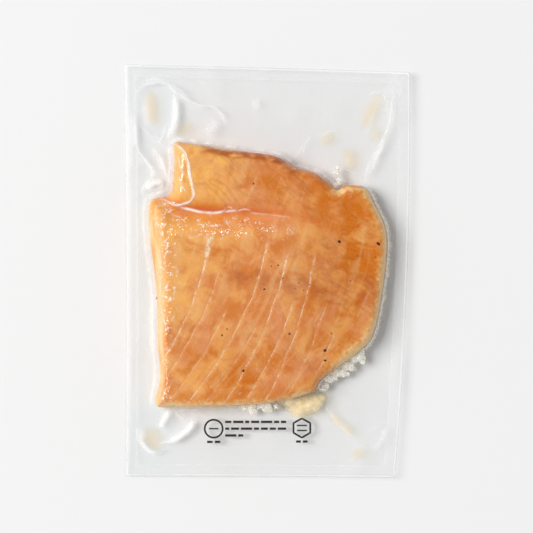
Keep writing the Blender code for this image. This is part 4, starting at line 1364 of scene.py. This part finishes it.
def flesh_material():
    """Flesh: broad tones first, then flakes, fibres, the fold, the edges and a fine grain."""
    shade = Shading("salmon_flesh")
    where = shade.place()
    away = shade.add("SeparateXYZ", {0: where}).outputs[1]
    middle = linear(227, 149, 88)
    deep = linear(216, 117, 12)
    light = linear(253, 190, 104)
    rosy = linear(232, 158, 112)
    pale = linear(246, 200, 142)
    gold = linear(238, 168, 78)
    brown = linear(178, 84, 4)
    dark = linear(208, 118, 26)

    blotches = shade.noise(where, 0.075, 4.0, 0.62, 0.5)
    depths = shade.span(blotches, 0.32, 0.68, -0.38, 0.38)
    colour = shade.mix(shade.math("ADD", shade.mask("tone"), depths, clamp=True), middle, deep)
    # Painted light: the lighter colour laid where the light falls on the left and on the crest
    lights = shade.span(blotches, 0.35, 0.65, 0.3, -0.3)
    colour = shade.mix(shade.math("ADD", lights, shade.mask("light"), clamp=True), colour, light)
    clouds = shade.span(shade.noise(where, 0.045, 4.0, 0.6, 0.9), 0.5, 0.68, 0.0, 0.6)
    clouds = shade.times(clouds, shade.math("SUBTRACT", 1.0, shade.mask("golden")))
    colour = shade.mix(clouds, colour, rosy)
    colour = shade.mix(shade.mask("front", 0.7), colour, linear(218, 124, 44))

    streaks = shade.noise(shade.plane(shade.mask("across"), 0.16, away, 0.04), 1.0, 3.0, 0.55, 0.7)
    colour = shade.mix(shade.span(streaks, 0.5, 0.75, 0.0, 0.4), colour, pale)
    colour = shade.mix(shade.span(streaks, 0.5, 0.25, 0.0, 0.27), colour, deep)

    fibre_along, fibre_across = shade.mask("fibre_along"), shade.mask("fibre_across")
    fibrous = shade.mask("fibrous")
    fibres = shade.noise(shade.plane(fibre_along, 0.05, fibre_across, 0.17), 1.0, 4.0, 0.6, 1.3)
    veins = shade.noise(shade.plane(fibre_along, 0.03, fibre_across, 0.075), 1.0, 3.0, 0.5, 0.4)
    for share, laid in (
        (shade.span(fibres, 0.5, 0.74, 0.0, 0.46), gold),
        (shade.span(fibres, 0.5, 0.28, 0.0, 0.3), dark),
        (shade.span(shade.off(veins, 0.5), 0.0, 0.04, 0.24, 0.0), brown),
    ):
        colour = shade.mix(shade.times(share, fibrous), colour, laid)

    for name, share, laid in (
        ("band", 0.62, linear(182, 86, 40)),
        # Painted shade in the fold: deeper orange round it and a dark core in its valley
        ("painted_fold_shade", 0.55, linear(238, 134, 20)),
        ("crease", 0.85, linear(208, 88, 0)),
    ):
        colour = shade.mix(shade.mask(name, share), colour, laid)

    # Paler layers on the bevel: partly streaks of fat, partly painted light
    layers = shade.noise(shade.plane(shade.mask("depth"), 0.42, away, 0.035), 1.0, 3.0, 0.55, 0.4)
    layers = shade.mix(shade.span(layers, 0.35, 0.65), linear(230, 158, 82), linear(250, 212, 158))
    bevel = shade.times(shade.mask("bevel"), shade.span(blotches, 0.3, 0.6, 0.5, 0.9))
    colour = shade.mix(bevel, colour, layers)
    # Painted light on the left facet that faces the lamp
    colour = shade.mix(shade.mask("facet", 0.7), colour, linear(244, 182, 112))

    frayed = shade.span(shade.noise(where, 0.4, 3.0, 0.65), 0.3, 0.7, -0.22, 0.22)
    rim = shade.mask("rim")
    within = shade.span(rim, 0.0, 0.12)
    rim = shade.times(shade.math("ADD", rim, frayed, clamp=True), within)
    outer = shade.mix(shade.span(rim, 0.45, 0.95), linear(236, 173, 93), linear(247, 208, 150))
    colour = shade.mix(shade.span(rim, 0.05, 0.9, 0.0, 0.92), colour, outer)

    ragged = shade.span(shade.noise(where, 0.55, 3.0, 0.6), 0.3, 0.7, -0.12, 0.2)
    gap = shade.math("ADD", shade.mask("line_gap"), ragged)
    shows = shade.mask("line_strength")
    thin = shade.math("DIVIDE", gap, shade.mask("line_width"))
    thread = shade.math("SUBTRACT", 1.0, shade.span(thin, 0.4, 1.7))
    beads = shade.span(shade.noise(where, 0.34, 3.0, 0.65), 0.4, 0.6, 0.12, 1.0)
    thread = shade.times(shade.times(thread, beads), shows)
    halo = shade.times(shade.span(gap, 0.2, 2.2, 0.32, 0.0), shows)
    colour = shade.mix(halo, colour, linear(240, 174, 112))
    colour = shade.mix(thread, colour, linear(252, 228, 200))

    colour = shade.mix(shade.mask("brown", 0.95), colour, brown)
    grain = shade.noise(where, 0.9, 3.0, 0.65)
    colour = shade.mix(shade.span(grain, 0.5, 0.75, 0.0, 0.11), colour, pale)
    colour = shade.mix(shade.span(grain, 0.5, 0.25, 0.0, 0.11), colour, dark)
    shader = shade.add("BsdfPrincipled", {
        "Base Color": colour,
        "Roughness": shade.span(grain, 0.3, 0.7, 0.4, 0.55),
        "Subsurface Weight": 0.2,
        "Subsurface Radius": (1.0, 0.45, 0.2),
        "Subsurface Scale": 0.0015,
        "Specular IOR Level": 0.12,
        "Normal": shade.bump(shade.math("MULTIPLY_ADD", fibres, 1.5, grain), 0.5, 0.0005),
    })
    return shade.finish(shader)


def translucent_material(name, colour, tint, solid, roughness, mottle, painted_glow, fading=False):
    """Fat or jelly: part of the light passes and part is scattered, with a faint painted glow that
    keeps it bright in shade.
    """
    shade = Shading(name)
    uneven = shade.noise(shade.place(), mottle, 3.0, 0.6)
    paler = tuple(min(1.0, channel * 1.12) for channel in colour)
    clear = shade.add("BsdfTransparent", {"Color": tint})
    body = shade.add("BsdfPrincipled", {
        "Base Color": shade.mix(shade.span(uneven, 0.35, 0.65), colour, paler),
        "Roughness": roughness,
        "Specular IOR Level": 0.4,
        # Painted glow: a faint emission that keeps the piece bright in shade
        "Emission Color": colour,
        "Emission Strength": painted_glow,
        "Subsurface Weight": 0.5,
        "Subsurface Radius": (1.0, 0.8, 0.5),
        "Subsurface Scale": 0.002,
        "Normal": shade.bump(uneven, 0.5, 0.0005),
    })
    share = shade.span(uneven, 0.3, 0.7, solid - 0.15, solid + 0.15)
    if fading:
        body = shade.mix_shaders(0.65, body, cloudy(shade, colour, 0.4))
        share = shade.times(share, shade.mask("edge"))
    return shade.finish(shade.mix_shaders(share, clear, body))


def froth_material():
    """White froth, with a faint painted glow standing in for the light that many small bubbles pass
    on.
    """
    shade = Shading("froth")
    uneven = shade.noise(shade.place(), 1.1, 3.0, 0.6)
    clear = shade.add("BsdfTransparent", {"Color": (0.99, 0.985, 0.975, 1.0)})
    body = shade.add("BsdfPrincipled", {
        "Base Color": linear(240, 236, 228), "Roughness": 0.45, "Specular IOR Level": 0.3,
        # Painted glow: a faint emission that keeps the froth bright in the fish's shade
        "Emission Color": (1.0, 0.97, 0.92, 1.0), "Emission Strength": 0.16,
        "Normal": shade.bump(uneven, 0.8, 0.0006),
    })
    share = shade.times(shade.span(shade.mask("edge"), 0.0, 0.6, 0.0, 0.8),
                        shade.span(uneven, 0.35, 0.6, 0.35, 1.0))
    return shade.finish(shade.mix_shaders(share, clear, body))


def thin_material(name, colour, tint, solid, reach, mottle):
    """Dried brine: a thin layer that fades out towards its edge."""
    shade = Shading(name)
    uneven = shade.noise(shade.place(), mottle, 3.0, 0.6)
    amount = shade.times(shade.span(shade.mask("edge"), 0.0, reach),
                         shade.span(uneven, 0.3, 0.65, 0.55, 1.0))
    clear = shade.add("BsdfTransparent", {"Color": shade.mix(amount, WHITE, tint)})
    body = cloudy(shade, colour, 0.5)
    return shade.finish(shade.mix_shaders(shade.times(amount, solid), clear, body))


def bubble_material():
    shade = Shading("air_bubble")
    clear = shade.add("BsdfTransparent", {"Color": (0.97, 0.97, 0.97, 1.0)})
    gloss = shade.add("BsdfAnisotropic", {"Color": WHITE, "Roughness": 0.05})
    return shade.finish(shade.mix_shaders(glossy_share(shade, 0.1, 0.5), clear, gloss))


def speck_material():
    shade = Shading("peppercorn")
    rough = shade.noise(shade.place(), 2.6, 3.0, 0.6)
    dark = shade.mix(shade.span(rough, 0.35, 0.65), linear(20, 12, 8), linear(58, 30, 16))
    colour = shade.mix(shade.mask("dark"), linear(150, 76, 34), dark)
    shader = shade.add("BsdfPrincipled", {"Base Color": colour, "Roughness": 0.55,
                                          "Normal": shade.bump(rough, 0.6, 0.0002)})
    return shade.finish(shader)


def ink_material():
    shade = Shading("print_ink")
    wear = shade.noise(shade.place(), 1.6, 3.0, 0.6)
    colour = shade.mix(shade.span(wear, 0.35, 0.7), linear(12, 12, 14), linear(44, 44, 46))
    shader = shade.add("BsdfPrincipled", {"Base Color": colour, "Roughness": 0.5})
    return shade.finish(shader)


def floor_material():
    shade = Shading("white_floor")
    white = (FLOOR_ALBEDO, FLOOR_ALBEDO, FLOOR_ALBEDO, 1.0)
    shader = shade.add("BsdfPrincipled", {"Base Color": white, "Roughness": 0.9,
                                          "Specular IOR Level": 0.0})
    return shade.finish(shader)


def dress(piece, material):
    """Gives a piece its material and hands it to the solid's body."""
    piece.data.materials.clear()
    piece.data.materials.append(material)
    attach(piece, "root")
    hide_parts(NODE)


def add_light():
    """A square softbox that faces the pouch."""
    azimuth, elevation = math.radians(LIGHT_AZIMUTH), math.radians(LIGHT_ELEVATION)
    towards = Vector((math.cos(azimuth) * math.cos(elevation),
                      math.sin(azimuth) * math.cos(elevation), math.sin(elevation)))
    light = bpy.data.lights.new("key", "AREA")
    light.shape = "SQUARE"
    light.size = LIGHT_SIDE
    light.energy = LIGHT_POWER
    lamp = bpy.data.objects.new("key", light)
    lamp.location = towards * LIGHT_DISTANCE
    lamp.rotation_euler = towards.to_track_quat("Z", "Y").to_euler()
    bpy.context.scene.collection.objects.link(lamp)


def make_sky():
    """A plain sky, bright at the horizon and dim overhead."""
    world = bpy.data.worlds.new("studio")
    world.use_nodes = True
    tree = world.node_tree
    direction = tree.nodes.new("ShaderNodeTexCoord")
    parts = tree.nodes.new("ShaderNodeSeparateXYZ")
    fade = tree.nodes.new("ShaderNodeMapRange")
    fade.inputs["To Min"].default_value = SKY_HORIZON
    fade.inputs["To Max"].default_value = SKY_ZENITH
    tree.links.new(direction.outputs["Generated"], parts.inputs[0])
    tree.links.new(parts.outputs["Z"], fade.inputs["Value"])
    sky = tree.nodes["Background"]
    sky.inputs["Color"].default_value = WHITE
    tree.links.new(fade.outputs["Result"], sky.inputs["Strength"])
    bpy.context.scene.world = world


def set_stage():
    """A white floor, one soft light, a plain sky and the photo's camera."""
    scene = bpy.context.scene
    bpy.ops.mesh.primitive_plane_add(size=FLOOR_SIZE, location=(0.0, 0.0, FLOOR_HEIGHT))
    floor = bpy.context.object
    floor.name = "floor"
    floor.data.materials.append(floor_material())
    add_light()
    make_sky()
    lens = bpy.data.cameras.new("camera")
    lens.lens = CAMERA_LENS
    lens.sensor_width = SENSOR_WIDTH
    camera = bpy.data.objects.new("camera", lens)
    camera.location = CAMERA_PLACE
    scene.collection.objects.link(camera)
    scene.camera = camera
    scene.view_settings.view_transform = "Standard"


dress(make_film(), film_material())
dress(make_flesh(), flesh_material())
dress(make_fringe(), froth_material())
fat = translucent_material(
    "fat", linear(250, 244, 233), (0.985, 0.981, 0.968, 1.0),
    solid=0.5, roughness=0.15, mottle=0.5, painted_glow=0.14,
)
dress(make_crumbs(), fat)
jelly = translucent_material(
    "jelly", linear(249, 222, 172), (0.997, 0.98, 0.915, 1.0),
    solid=0.54, roughness=0.4, mottle=0.3, painted_glow=0.03, fading=True,
)
dress(make_jelly(), jelly)
brine = thin_material(
    "brine", linear(254, 216, 166), (1.0, 0.932, 0.8, 1.0), solid=0.1, reach=0.8, mottle=0.16
)
dress(make_stains(), brine)
dress(make_specks(), speck_material())
dress(make_bubbles(), bubble_material())
dress(make_marks(), ink_material())
set_stage()
